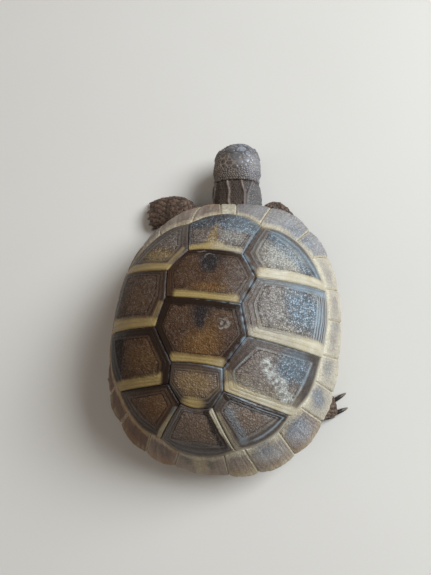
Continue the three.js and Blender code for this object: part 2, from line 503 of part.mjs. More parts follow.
add('vertebral_1', plate([
  ...straight(V1R, right('v12'), 3), ...straight(right('v12'), left('v12'), 4, BOW.v12), ...straight(left('v12'), V1L, 3),
  ...arc(180 - SEAM_ANGLE.v1, SEAM_ANGLE.v1, 8)]), plateTint);
add('vertebral_2', plate([
  ...straight(left('v12'), right('v12'), 4, BOW.v12), ...rowEdge(right, ['v12', 'v2wide', 'v23']),
  ...straight(right('v23'), left('v23'), 5, BOW.v23), ...rowEdge(left, ['v23', 'v2wide', 'v12'])]), plateTint);
add('vertebral_3', plate([
  ...straight(left('v23'), right('v23'), 5, BOW.v23), ...rowEdge(right, ['v23', 'v3wide', 'v34']),
  ...straight(right('v34'), left('v34'), 4, BOW.v34), ...rowEdge(left, ['v34', 'v3wide', 'v23'])]), plateTint);
add('vertebral_4', plate([
  ...straight(left('v34'), right('v34'), 4, BOW.v34), ...rowEdge(right, ['v34', 'v4wide', 'v45'], 2),
  ...straight(right('v45'), left('v45'), 3, BOW.v45), ...rowEdge(left, ['v45', 'v4wide', 'v34'], 2)]), plateTint);
add('vertebral_5', plate([
  ...straight(left('v45'), right('v45'), 3, BOW.v45), ...straight(right('v45'), V5R, 4),
  ...arc(SEAM_ANGLE.v5, -180 - SEAM_ANGLE.v5, 7), ...straight(V5L, left('v45'), 4)]), plateTint);

for (const [word, side, far, v1, v5] of [['right', right, (a) => a, V1R, V5R], ['left', left, (a) => 180 - a, V1L, V5L]]) {
  const A = { c12: far(SEAM_ANGLE.c12), c23: far(SEAM_ANGLE.c23), c34: far(SEAM_ANGLE.c34), v1: far(SEAM_ANGLE.v1), v5: far(SEAM_ANGLE.v5) };
  add(`costal_${word}_1`, plate([
    ...straight(v1, side('v12'), 3), ...straight(side('v12'), side('v2wide'), 3),
    ...straight(side('v2wide'), onSeam(A.c12), 5), ...arc(A.c12, A.v1, 8)]), plateTint);
  add(`costal_${word}_2`, plate([
    ...rowEdge(side, ['v2wide', 'v23', 'v3wide'], 3), ...straight(side('v3wide'), onSeam(A.c23), 5),
    ...arc(A.c23, A.c12, 5), ...straight(onSeam(A.c12), side('v2wide'), 5)]), plateTint);
  add(`costal_${word}_3`, plate([
    ...rowEdge(side, ['v3wide', 'v34', 'v4wide'], 3), ...straight(side('v4wide'), onSeam(A.c34), 5),
    ...arc(A.c34, A.c23, 5), ...straight(onSeam(A.c23), side('v3wide'), 5)]), plateTint);
  add(`costal_${word}_4`, plate([
    ...straight(side('v4wide'), side('v45'), 2), ...straight(side('v45'), v5, 4),
    ...arc(A.v5, A.c34, 5), ...straight(onSeam(A.c34), side('v4wide'), 5)]), plateTint);
  const seam = (k) => (word === 'right' ? MARGINAL_SEAMS[k].slice(0, 2) : MARGINAL_SEAMS[k].slice(2).map(far));
  for (let k = 0; k < 11; k++) add(`marginal_${word}_${k + 1}`, rimPlate(seam(k), seam(k + 1), SCALLOP[k + 1]), rimTint);
}
const leftSeam = (k) => [180 - MARGINAL_SEAMS[k][2], 180 - MARGINAL_SEAMS[k][3]];
const tailSeam = (k) => leftSeam(k).map((a) => a - 360);
add('nuchal', rimPlate(MARGINAL_SEAMS[0].slice(0, 2), leftSeam(0), SCALLOP[0], 2), rimTint);
add('supracaudal', rimPlate(MARGINAL_SEAMS[11].slice(0, 2), tailSeam(11), SCALLOP[12]), rimTint);
add('plastron', plastron(), underTint);

// ---------------------------------------------------------------- flesh
add('trunk', trunk(), skinTint);
const trunkCutter = toManifold(trunk(0.3));
const shellCutter = toManifold(rimCutter(0.3)).add(toManifold(plastron(0.3)));
const trimmed = (solid) => fromManifold(solid.subtract(trunkCutter).subtract(shellCutter));

const neckSolid = toManifold(neck());
add('leg_front_left', trimmed(leg(FRONT_LEFT, FRONT_CLAWS, 2.0).subtract(neckSolid)), skinTint);
add('leg_front_right', trimmed(leg(FRONT_RIGHT, flip(FRONT_CLAWS), 2.0).subtract(neckSolid)), skinTint);
add('leg_hind_left', trimmed(leg(HIND_LEFT, flip(HIND_CLAWS))), skinTint);
add('leg_hind_right', trimmed(leg(HIND_RIGHT, HIND_CLAWS)), skinTint);
add('neck', trimmed(neckSolid), skinTint);
add('tail', trimmed(tail()), skinTint);

let skull = toManifold(head());
for (const side of [1, -1]) skull = skull.subtract(toManifold(ball(eyeCentre(side), EYE_RADIUS + 0.16)));
add('head', fromManifold(skull), skinTint);
add('eye_right', ball(eyeCentre(1), EYE_RADIUS), eyeTint);
add('eye_left', ball(eyeCentre(-1), EYE_RADIUS), eyeTint);

export default tortoise;
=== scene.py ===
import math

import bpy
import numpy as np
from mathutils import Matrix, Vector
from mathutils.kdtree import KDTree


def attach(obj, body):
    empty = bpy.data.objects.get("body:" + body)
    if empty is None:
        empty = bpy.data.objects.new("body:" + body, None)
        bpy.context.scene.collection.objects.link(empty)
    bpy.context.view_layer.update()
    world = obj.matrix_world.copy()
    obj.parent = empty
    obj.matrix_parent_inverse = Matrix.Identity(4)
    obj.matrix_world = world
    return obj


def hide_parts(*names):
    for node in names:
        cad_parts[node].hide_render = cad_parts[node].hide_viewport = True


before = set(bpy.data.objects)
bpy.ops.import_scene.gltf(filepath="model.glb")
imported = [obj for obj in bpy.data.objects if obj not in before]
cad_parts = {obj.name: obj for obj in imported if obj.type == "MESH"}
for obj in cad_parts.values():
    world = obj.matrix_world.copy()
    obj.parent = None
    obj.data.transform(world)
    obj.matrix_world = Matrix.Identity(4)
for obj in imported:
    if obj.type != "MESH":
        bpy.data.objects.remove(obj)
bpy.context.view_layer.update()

# Looks of the juvenile spur-thighed tortoise: shell plates with granulated areolae and growth
# rings, plastron, one continuous skin, scales and shields over it, eyes, beak and claws.
#
# Lengths below are millimetres in the animal's own terms (right, forward, up) until a mesh is
# made; put() turns them into the model's metres, where forward is -Y and right is -X.

rng = np.random.default_rng(20418)

# ------------------------------------------------------------------ driving sizes (as in the solids)
SHELL_LENGTH, HALF_WIDTH, FRONT = 56.0, 24.5, 29.0
REAR = SHELL_LENGTH - FRONT
APEX, OUTLINE_POWER = 26.6, 2.4
RIM_SIDE, RIM_FRONT, RIM_REAR = 6.6, 9.6, 8.2
SCUTE, BULGE = 1.2, 0.28
GAP = 0.025                     # half the open seam between two plates
HEAD_WIDTH, HEAD_HEIGHT, NOSE, NAPE = 10.8, 8.0, 44.4, 34.9
EYE_RADIUS = 1.15
FINE = 0.115                    # spacing of the shell's mesh

DEG = math.pi / 180


# ------------------------------------------------------------------ small mathematics
def mix(a, b, t):
    return a + (b - a) * t


def clip(v, a=0.0, b=1.0):
    return np.minimum(b, np.maximum(a, v))


def smooth(a, b, v):
    t = clip((np.asarray(v, float) - a) / (b - a))
    return t * t * (3 - 2 * t)


def follow(table, u, column=1):
    """Smooth curve through rows of [station, value, ...]."""
    tb = np.array(table, float)
    x, y = tb[:, 0], tb[:, column]
    if x[0] > x[-1]:
        x, y = x[::-1], y[::-1]
    u = np.asarray(u, float)
    n = len(x)
    m = np.empty(n)
    m[1:-1] = (y[2:] - y[:-2]) / (x[2:] - x[:-2])
    m[0] = (y[1] - y[0]) / (x[1] - x[0])
    m[-1] = (y[-1] - y[-2]) / (x[-1] - x[-2])
    i = np.clip(np.searchsorted(x, u) - 1, 0, n - 2)
    h = x[i + 1] - x[i]
    t = clip((u - x[i]) / h)
    t2, t3 = t * t, t * t * t
    return ((2 * t3 - 3 * t2 + 1) * y[i] + (t3 - 2 * t2 + t) * m[i] * h
            + (3 * t2 - 2 * t3) * y[i + 1] + (t3 - t2) * m[i + 1] * h)


def hash01(ix, iy, iz, seed):
    h = (ix.astype(np.int64) * 374761393 + iy.astype(np.int64) * 668265263
         + iz.astype(np.int64) * 2147483629 + seed * 1274126177) & 0xFFFFFFFF
    h = ((h ^ (h >> 13)) * 1103515245) & 0xFFFFFFFF
    h = ((h ^ (h >> 15)) * 668265263) & 0xFFFFFFFF
    return ((h ^ (h >> 16)) & 0xFFFFFF) / float(0xFFFFFF)


def noise(p, size, seed=0):
    """Smooth noise in -1..1 with features about size across."""
    q = np.asarray(p, float) / size
    if q.shape[1] == 2:
        q = np.concatenate([q, np.zeros((len(q), 1))], 1)
    i = np.floor(q).astype(np.int64)
    f = q - i
    f = f * f * f * (f * (f * 6 - 15) + 10)
    total = 0.0
    for dx in (0, 1):
        for dy in (0, 1):
            for dz in (0, 1):
                w = ((f[:, 0] if dx else 1 - f[:, 0]) * (f[:, 1] if dy else 1 - f[:, 1])
                     * (f[:, 2] if dz else 1 - f[:, 2]))
                total = total + w * hash01(i[:, 0] + dx, i[:, 1] + dy, i[:, 2] + dz, seed)
    return total * 2 - 1


def fbm(p, size, octaves=3, seed=0):
    out, amp, norm = 0.0, 1.0, 0.0
    for k in range(octaves):
        out = out + amp * noise(p, size / 2 ** k, seed + 17 * k)
        norm += amp
        amp *= 0.5
    return out / norm


def cells(p, size, seed=0, jitter=0.85):
    """Nearest and second-nearest seed distances, in units of size, and the nearest seed's number."""
    q = np.asarray(p, float) / size
    d3 = q.shape[1] == 3
    i = np.floor(q).astype(np.int64)
    n = len(q)
    f1, f2, ident = np.full(n, 9.0), np.full(n, 9.0), np.zeros(n)
    zero = np.zeros(n, np.int64)
    for dx in (-1, 0, 1):
        for dy in (-1, 0, 1):
            for dz in ((-1, 0, 1) if d3 else (0,)):
                cx, cy = i[:, 0] + dx, i[:, 1] + dy
                cz = i[:, 2] + dz if d3 else zero
                px = cx + 0.5 + (hash01(cx, cy, cz, seed) - 0.5) * jitter
                py = cy + 0.5 + (hash01(cx, cy, cz, seed + 1) - 0.5) * jitter
                d = (q[:, 0] - px) ** 2 + (q[:, 1] - py) ** 2
                if d3:
                    pz = cz + 0.5 + (hash01(cx, cy, cz, seed + 2) - 0.5) * jitter
                    d = d + (q[:, 2] - pz) ** 2
                d = np.sqrt(d)
                near = d < f1
                f2 = np.where(near, f1, np.minimum(f2, d))
                ident = np.where(near, hash01(cx, cy, cz, seed + 3), ident)
                f1 = np.where(near, d, f1)
    return f1, f2, ident


def blob(x, y, cx, cy, rx, ry, turn=0.0, soft=0.35):
    """1 inside an ellipse, 0 outside, softened by a share of its size."""
    c, s = math.cos(turn * DEG), math.sin(turn * DEG)
    dx, dy = x - cx, y - cy
    d = np.sqrt(((dx * c + dy * s) / rx) ** 2 + ((-dx * s + dy * c) / ry) ** 2)
    return 1 - smooth(1 - soft, 1 + soft, d)


# ------------------------------------------------------------------ meshes
def put(points):
    p = np.asarray(points, float) * 0.001
    return np.stack([-p[:, 0], -p[:, 1], p[:, 2]], 1)


def make_mesh(name, points, quads=None, tris=None, attributes=None, uv=None, material=None, smooth_shade=True):
    """A mesh object from animal-frame millimetres. uv is per vertex, or per loop where longer."""
    quads = np.zeros((0, 4), np.int64) if quads is None or len(quads) == 0 else np.asarray(quads, np.int64)
    tris = np.zeros((0, 3), np.int64) if tris is None or len(tris) == 0 else np.asarray(tris, np.int64)
    v = put(points)
    me = bpy.data.meshes.new(name)
    me.vertices.add(len(v))
    me.vertices.foreach_set("co", v.astype(np.float32).ravel())
    loops = np.concatenate([quads.ravel(), tris.ravel()]).astype(np.int32)
    nq, nt = len(quads), len(tris)
    starts = np.concatenate([np.arange(nq) * 4, nq * 4 + np.arange(nt) * 3]).astype(np.int32)
    me.loops.add(len(loops))
    me.loops.foreach_set("vertex_index", loops)
    me.polygons.add(nq + nt)
    me.polygons.foreach_set("loop_start", starts)
    me.update(calc_edges=True)
    me.polygons.foreach_set("use_smooth", np.full(nq + nt, smooth_shade))
    for key, value in (attributes or {}).items():
        value = np.asarray(value, np.float32)
        if value.ndim == 1:
            at = me.attributes.new(key, "FLOAT", "POINT")
            at.data.foreach_set("value", value)
        else:
            at = me.attributes.new(key, "FLOAT_COLOR", "POINT")
            rgba = np.concatenate([value[:, :3], np.ones((len(value), 1), np.float32)], 1)
            at.data.foreach_set("color", rgba.astype(np.float32).ravel())
    if uv is not None:
        layer = me.uv_layers.new(name="OFBake")
        data = uv[loops] if len(uv) == len(v) else uv
        layer.data.foreach_set("uv", np.asarray(data, np.float32).ravel())
    me.validate(verbose=False)
    ob = bpy.data.objects.new(name, me)
    bpy.context.scene.collection.objects.link(ob)
    if material is not None:
        me.materials.append(material)
    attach(ob, "root")
    return ob


def grid_faces(rows, cols, wrap=False, flip=False, offset=0):
    """Quads over a rows x cols grid of vertices; wrap joins the last column to the first."""
    r = np.arange(rows - 1)[:, None]
    c = np.arange(cols if wrap else cols - 1)[None, :]
    a = r * cols + c
    b = r * cols + (c + 1) % cols
    q = np.stack([a, b, b + cols, a + cols], -1).reshape(-1, 4) + offset
    return q[:, ::-1] if flip else q


def ring_faces(sizes, flip=False):
    """Faces between rings given by their sizes, each the same as or half the one before."""
    quads, tris, start = [], [], 0
    for n, m in zip(sizes[:-1], sizes[1:]):
        nxt = start + n
        j = np.arange(m)
        if m == n:
            k = (j + 1) % n
            quads.append(np.stack([start + j, start + k, nxt + k, nxt + j], 1))
        else:
            o0, o1, o2 = start + 2 * j, start + 2 * j + 1, start + (2 * j + 2) % n
            i0, i1 = nxt + j, nxt + (j + 1) % m
            tris += [np.stack([o0, o1, i0], 1), np.stack([o1, i1, i0], 1), np.stack([o1, o2, i1], 1)]
        start = nxt
    quads = np.concatenate(quads) if quads else np.zeros((0, 4), np.int64)
    tris = np.concatenate(tris) if tris else np.zeros((0, 3), np.int64)
    return (quads[:, ::-1], tris[:, ::-1]) if flip else (quads, tris)


# ------------------------------------------------------------------ the shell's surface
def outline(angle):
    c, s = np.abs(np.cos(angle * DEG)), np.sin(angle * DEG)
    a = np.where(s > 0, FRONT, REAR)
    return ((c / HALF_WIDTH) ** OUTLINE_POWER + (np.abs(s) / a) ** OUTLINE_POWER) ** (-1 / OUTLINE_POWER)


def rim_height(angle):
    s = np.sin(angle * DEG)
    return mix(RIM_SIDE, np.where(s > 0, RIM_FRONT, RIM_REAR), np.abs(s) ** 3)


PROFILE_SIDE = [[0, 1], [0.15, 0.990], [0.3, 0.957], [0.45, 0.895], [0.6, 0.797], [0.7, 0.697], [0.78, 0.590],
                [0.84, 0.475], [0.885, 0.347], [0.94, 0.182], [1, 0]]
PROFILE_FRONT = [[0, 1], [0.15, 0.990], [0.3, 0.955], [0.45, 0.885], [0.6, 0.752], [0.7, 0.626], [0.8, 0.470],
                 [0.88, 0.305], [0.94, 0.163], [1, 0]]
PROFILE_REAR = [[0, 1], [0.15, 0.991], [0.3, 0.965], [0.45, 0.905], [0.6, 0.795], [0.7, 0.682], [0.8, 0.520],
                [0.87, 0.358], [0.94, 0.166], [1, 0]]


def dome_height(x, y):
    r = np.maximum(np.hypot(x, y), 1e-9)
    angle = np.arctan2(y, x) / DEG
    s = np.minimum(1, r / outline(angle))
    w = np.abs(y / r) ** 3
    zr = mix(7.4, rim_height(angle), smooth(0, 0.6, s))
    end = np.where(y > 0, follow(PROFILE_FRONT, s), follow(PROFILE_REAR, s))
    return zr + (APEX - zr) * mix(follow(PROFILE_SIDE, s), end, w)


def dome_normal(x, y):
    r, h = np.maximum(np.hypot(x, y), 1e-9), 0.05
    limit = 0.985 * outline(np.arctan2(y, x) / DEG)
    k = np.where(r > limit, limit / r, 1.0)
    X, Y = x * k, y * k
    dx = (dome_height(X + h, Y) - dome_height(X - h, Y)) / (2 * h)
    dy = (dome_height(X, Y + h) - dome_height(X, Y - h)) / (2 * h)
    n = np.stack([-dx, -dy, np.ones_like(dx)], 1)
    return n / np.linalg.norm(n, axis=1, keepdims=True)


def on_dome(x, y, lift):
    n = dome_normal(x, y)
    p = np.stack([x, y, dome_height(x, y)], 1)
    return p + n * np.asarray(lift)[..., None]


# Flat map of the dome: distance from the top along the surface, in each plan direction.
_TH = np.linspace(-180, 180, 361)
_SS = np.linspace(0, 1, 201)
_T, _S = np.meshgrid(_TH, _SS, indexing="ij")
_R = _S * outline(_T)
_X, _Y = _R * np.cos(_T * DEG), _R * np.sin(_T * DEG)
_Z = dome_height(_X.ravel(), _Y.ravel()).reshape(_X.shape)
_L = np.concatenate([np.zeros((len(_TH), 1)), np.cumsum(np.hypot(np.diff(_R, axis=1), np.diff(_Z, axis=1)), 1)], 1)
_LMAX = _L[:, -1]
_INV = np.stack([np.interp(_SS * _LMAX[i], _L[i], _SS) for i in range(len(_TH))])


def _bilinear(table, th, v):
    a = clip((th + 180) / 360, 0, 1) * (len(_TH) - 1)
    b = clip(v, 0, 1) * (len(_SS) - 1)
    i = np.minimum(a.astype(int), len(_TH) - 2)
    j = np.minimum(b.astype(int), len(_SS) - 2)
    f, g = a - i, b - j
    return ((table[i, j] * (1 - f) + table[i + 1, j] * f) * (1 - g)
            + (table[i, j + 1] * (1 - f) + table[i + 1, j + 1] * f) * g)


def to_flat(x, y):
    th = np.arctan2(y, x) / DEG
    s = np.hypot(x, y) / outline(th)
    L = _bilinear(_L, th, s)
    return L * np.cos(th * DEG), L * np.sin(th * DEG)


def from_flat(u, v):
    th = np.arctan2(v, u) / DEG
    L = np.hypot(u, v)
    lm = np.interp(th, _TH, _LMAX)
    s = _bilinear(_INV, th, L / lm)
    r = s * outline(th)
    return r * np.cos(th * DEG), r * np.sin(th * DEG)


# ------------------------------------------------------------------ the pattern of plates (as in the solids)
UPPER_SEAM = [[90, 0.860, 0.860], [81, 0.838, 0.826], [71.4, 0.797, 0.772], [62, 0.840, 0.786], [50, 0.872, 0.792],
              [38, 0.889, 0.812], [27, 0.904, 0.850], [15, 0.902, 0.880], [0, 0.884, 0.870], [-12, 0.866, 0.856],
              [-25, 0.855, 0.842], [-39.3, 0.814, 0.796], [-49, 0.826, 0.806], [-60, 0.828, 0.820],
              [-71.3, 0.824, 0.814], [-80, 0.860, 0.864], [-90, 0.881, 0.881]]
FLARE = [[90, 0, 0], [76, 0.4, -0.1], [66, 0.8, -0.25], [57, 0.5, -0.35], [48, 0.45, -0.3], [38, 0.1, -0.1],
         [20, 0, 0], [-15, 0, 0], [-26, 0.05, 0.3], [-36, 0.1, 0.65], [-47, 0.15, 0.5], [-57, 0.2, 0.5],
         [-68, 0.25, 0.4], [-80, 0.2, 0.2], [-90, 0.2, 0.2]]
MARGINAL_SEAMS = [[89.6, 86.4, 83.4, 86.6], [75, 72.6, 75, 73], [56.6, 54.4, 56.6, 55], [43.2, 44.4, 43.2, 44.2],
                  [28.4, 29, 28.4, 29], [13.7, 14, 13.7, 14], [-3.8, -4.5, -3.8, -4.5], [-19.2, -18.4, -19.2, -18.8],
                  [-32.6, -32.9, -32.3, -35.6], [-50.2, -48.6, -46.2, -50.4], [-66.5, -66.9, -63.2, -65.8],
                  [-79.1, -77.4, -77.1, -80.6]]
SCALLOP = [0.0, 0.2, 0.3, 0.25, 0.2, 0.15, 0.15, 0.25, 0.45, 0.7, 0.75, 0.6, 0.45]
SEAM_ANGLE = {"v1": 71.4, "c12": 27.0, "c23": -6.4, "c34": -39.3, "v5": -71.3}
ROW = {"v12": [5.3, 14.55, 0.12], "v2wide": [8.5, 10.1, 0], "v23": [7.12, 4.78, -0.59], "v3wide": [8.61, -0.85, -0.36],
       "v34": [4.75, -6.98, -0.08], "v4wide": [5.03, -10.88, 0.07], "v45": [2.98, -14.0, 0.37]}
BOW = {"v12": 0.5, "v23": 0.15, "v34": 0.3, "v45": -0.6}


def mirrored(angle):
    a = (np.asarray(angle, float) + 90) % 360 - 90
    left = a > 90
    return np.where(left, 180 - a, a), left


def two_sided(table, angle):
    a, left = mirrored(angle)
    return np.where(left, follow(table, a, 2), follow(table, a, 1))


def seam_share(angle):
    return two_sided(UPPER_SEAM, angle)


def flare(angle):
    return two_sided(FLARE, angle)


def on_seam(angle):
    angle = np.asarray(angle, float)
    r = seam_share(angle) * outline(angle)
    return r * np.cos(angle * DEG), r * np.sin(angle * DEG)


# ------------------------------------------------------------------ plates of the back
def joint(name, side):
    half, forward, shift = ROW[name]
    return (shift + side * half, forward)


def straight(a, b, bow=0.0, n=60):
    t = np.arange(n) / n
    return np.stack([mix(a[0], b[0], t), mix(a[1], b[1], t) + 4 * t * (1 - t) * bow], 1)


def arc(a0, a1, n=90):
    x, y = on_seam(mix(a0, a1, np.arange(n) / n))
    return np.stack([x, y], 1)


def seam_point(name, side):
    a = SEAM_ANGLE[name] if side > 0 else 180 - SEAM_ANGLE[name]
    x, y = on_seam(np.array([a]))
    return (float(x[0]), float(y[0]))


def plate_specs():
    """Each plate: its sides in order, counter-clockwise from above, and the corners of its areola."""
    J, S = joint, seam_point
    R, L = 1, -1
    specs = {}
    specs["vertebral_1"] = (
        [straight(J("v12", L), J("v12", R), BOW["v12"]), straight(J("v12", R), S("v1", R)),
         arc(SEAM_ANGLE["v1"], 180 - SEAM_ANGLE["v1"]), straight(S("v1", L), J("v12", L))],
        [(-4.6, 16.3), (4.55, 16.0), (6.2, 21.0), (-5.7, 20.7)])
    specs["vertebral_2"] = (
        [straight(J("v23", L), J("v23", R), BOW["v23"]), straight(J("v23", R), J("v2wide", R)),
         straight(J("v2wide", R), J("v12", R)), straight(J("v12", R), J("v12", L), BOW["v12"]),
         straight(J("v12", L), J("v2wide", L)), straight(J("v2wide", L), J("v23", L))],
        [(-6.0, 6.3), (5.1, 6.3), (6.7, 9.8), (4.3, 13.3), (-4.9, 13.3), (-7.0, 9.7)])
    specs["vertebral_3"] = (
        [straight(J("v34", L), J("v34", R), BOW["v34"]), straight(J("v34", R), J("v3wide", R)),
         straight(J("v3wide", R), J("v23", R)), straight(J("v23", R), J("v23", L), BOW["v23"]),
         straight(J("v23", L), J("v3wide", L)), straight(J("v3wide", L), J("v34", L))],
        [(-4.1, -5.0), (3.9, -4.9), (6.6, -0.8), (5.0, 3.4), (-6.0, 3.3), (-7.2, -0.7)])
    specs["vertebral_4"] = (
        [straight(J("v45", L), J("v45", R), BOW["v45"]), straight(J("v45", R), J("v4wide", R)),
         straight(J("v4wide", R), J("v34", R)), straight(J("v34", R), J("v34", L), BOW["v34"]),
         straight(J("v34", L), J("v4wide", L)), straight(J("v4wide", L), J("v45", L))],
        [(-1.7, -12.4), (1.9, -12.3), (4.1, -10.1), (3.7, -8.2), (-3.9, -8.2), (-4.1, -10.2)])
    specs["vertebral_5"] = (
        [arc(180 - SEAM_ANGLE["v5"], 360 + SEAM_ANGLE["v5"]), straight(S("v5", R), J("v45", R)),
         straight(J("v45", R), J("v45", L), BOW["v45"]), straight(J("v45", L), S("v5", L))],
        [(-4.7, -20.4), (5.0, -20.3), (2.3, -15.3), (-2.0, -15.2)])

    def right(angle):
        return SEAM_ANGLE[angle]

    # right side, counter-clockwise from above
    specs["costal_right_1"] = (
        [straight(S("v1", R), J("v12", R)), straight(J("v12", R), J("v2wide", R)),
         straight(J("v2wide", R), S("c12", R)), arc(right("c12"), right("v1"))],
        [(9.3, 19.9), (8.1, 15.2), (9.9, 12.4), (17.9, 12.6)])
    specs["costal_right_2"] = (
        [straight(J("v2wide", R), J("v23", R)), straight(J("v23", R), J("v3wide", R)),
         straight(J("v3wide", R), S("c23", R)), arc(right("c23"), right("c12")), straight(S("c12", R), J("v2wide", R))],
        [(10.3, 8.7), (9.3, 5.1), (10.6, 1.3), (18.9, 1.0), (19.0, 8.7)])
    specs["costal_right_3"] = (
        [straight(J("v3wide", R), J("v34", R)), straight(J("v34", R), J("v4wide", R)),
         straight(J("v4wide", R), S("c34", R)), arc(right("c34"), right("c23")), straight(S("c23", R), J("v3wide", R))],
        [(10.5, -3.0), (6.9, -7.2), (7.5, -9.7), (16.4, -11.3), (19.0, -4.0)])
    specs["costal_right_4"] = (
        [straight(J("v4wide", R), J("v45", R)), straight(J("v45", R), S("v5", R)), arc(right("v5"), right("c34")),
         straight(S("c34", R), J("v4wide", R))],
        [(6.4, -12.5), (5.2, -14.4), (8.6, -18.4), (14.0, -14.3)])
    specs["costal_left_1"] = (
        [straight(J("v12", L), S("v1", L)), arc(180 - right("v1"), 180 - right("c12")),
         straight(S("c12", L), J("v2wide", L)), straight(J("v2wide", L), J("v12", L))],
        [(-7.6, 15.2), (-8.6, 19.2), (-15.0, 12.6), (-9.4, 12.3)])
    specs["costal_left_2"] = (
        [straight(J("v2wide", L), S("c12", L)), arc(180 - right("c12"), 180 - right("c23")),
         straight(S("c23", L), J("v3wide", L)), straight(J("v3wide", L), J("v23", L)),
         straight(J("v23", L), J("v2wide", L))],
        [(-10.3, 8.9), (-17.9, 8.9), (-19.0, 0.9), (-11.3, 1.4), (-9.9, 5.0)])
    specs["costal_left_3"] = (
        [straight(J("v3wide", L), S("c23", L)), arc(180 - right("c23"), 180 - right("c34")),
         straight(S("c34", L), J("v4wide", L)), straight(J("v4wide", L), J("v34", L)),
         straight(J("v34", L), J("v3wide", L))],
        [(-10.2, -3.0), (-18.3, -4.0), (-15.0, -10.8), (-7.3, -9.6), (-7.2, -7.4)])
    specs["costal_left_4"] = (
        [straight(J("v4wide", L), S("c34", L)), arc(180 - right("c34"), 180 - right("v5")),
         straight(S("v5", L), J("v45", L)), straight(J("v45", L), J("v4wide", L))],
        [(-6.1, -12.6), (-13.2, -14.4), (-8.0, -18.6), (-4.9, -14.6)])
    return specs


def soften(loop, passes):
    for _ in range(passes):
        loop = (np.roll(loop, 1, 0) + 2 * loop + np.roll(loop, -1, 0)) / 4
    return loop


def resample(loop, follow_with, n):
    """n points evenly along a closed loop, and the companions of each."""
    closed = np.concatenate([loop, loop[:1]])
    other = np.concatenate([follow_with, follow_with[:1]])
    d = np.concatenate([[0], np.cumsum(np.linalg.norm(np.diff(closed, axis=0), axis=1))])
    at = np.arange(n) / n * d[-1]
    pick = lambda a: np.stack([np.interp(at, d, a[:, k]) for k in range(a.shape[1])], 1)
    return pick(closed), pick(other)


def plate_rings(sides, core):
    """Boundary loop and areola loop in the flat map, matched point for point."""
    edge, inner = [], []
    k = len(sides)
    core = np.array(core, float)
    core = np.stack(to_flat(core[:, 0], core[:, 1]), 1)
    for i, side in enumerate(sides):
        n = len(side)
        t = (np.arange(n) / n)[:, None]
        edge.append(np.stack(to_flat(side[:, 0], side[:, 1]), 1))
        inner.append(core[i] * (1 - t) + core[(i + 1) % k] * t)
    edge, inner = np.concatenate(edge), np.concatenate(inner)
    return edge, inner


def growth(g, wobble, count, strength, fine=0.35):
    """Height of the growth rings, 0..1 across the growth zone: rounded ridges, narrow grooves."""
    phase = np.clip(g, 0, 1) * count + wobble
    ridge = np.abs(np.sin(np.pi * phase)) ** 0.55
    small = np.abs(np.sin(np.pi * (phase * 3.0 + 0.4))) ** 0.7
    return strength * (ridge - 0.75) + strength * fine * (small - 0.7)


def roll_down(d, depth=0.22, width=0.34):
    t = clip(1 - d / width)
    return -depth * t ** 1.8


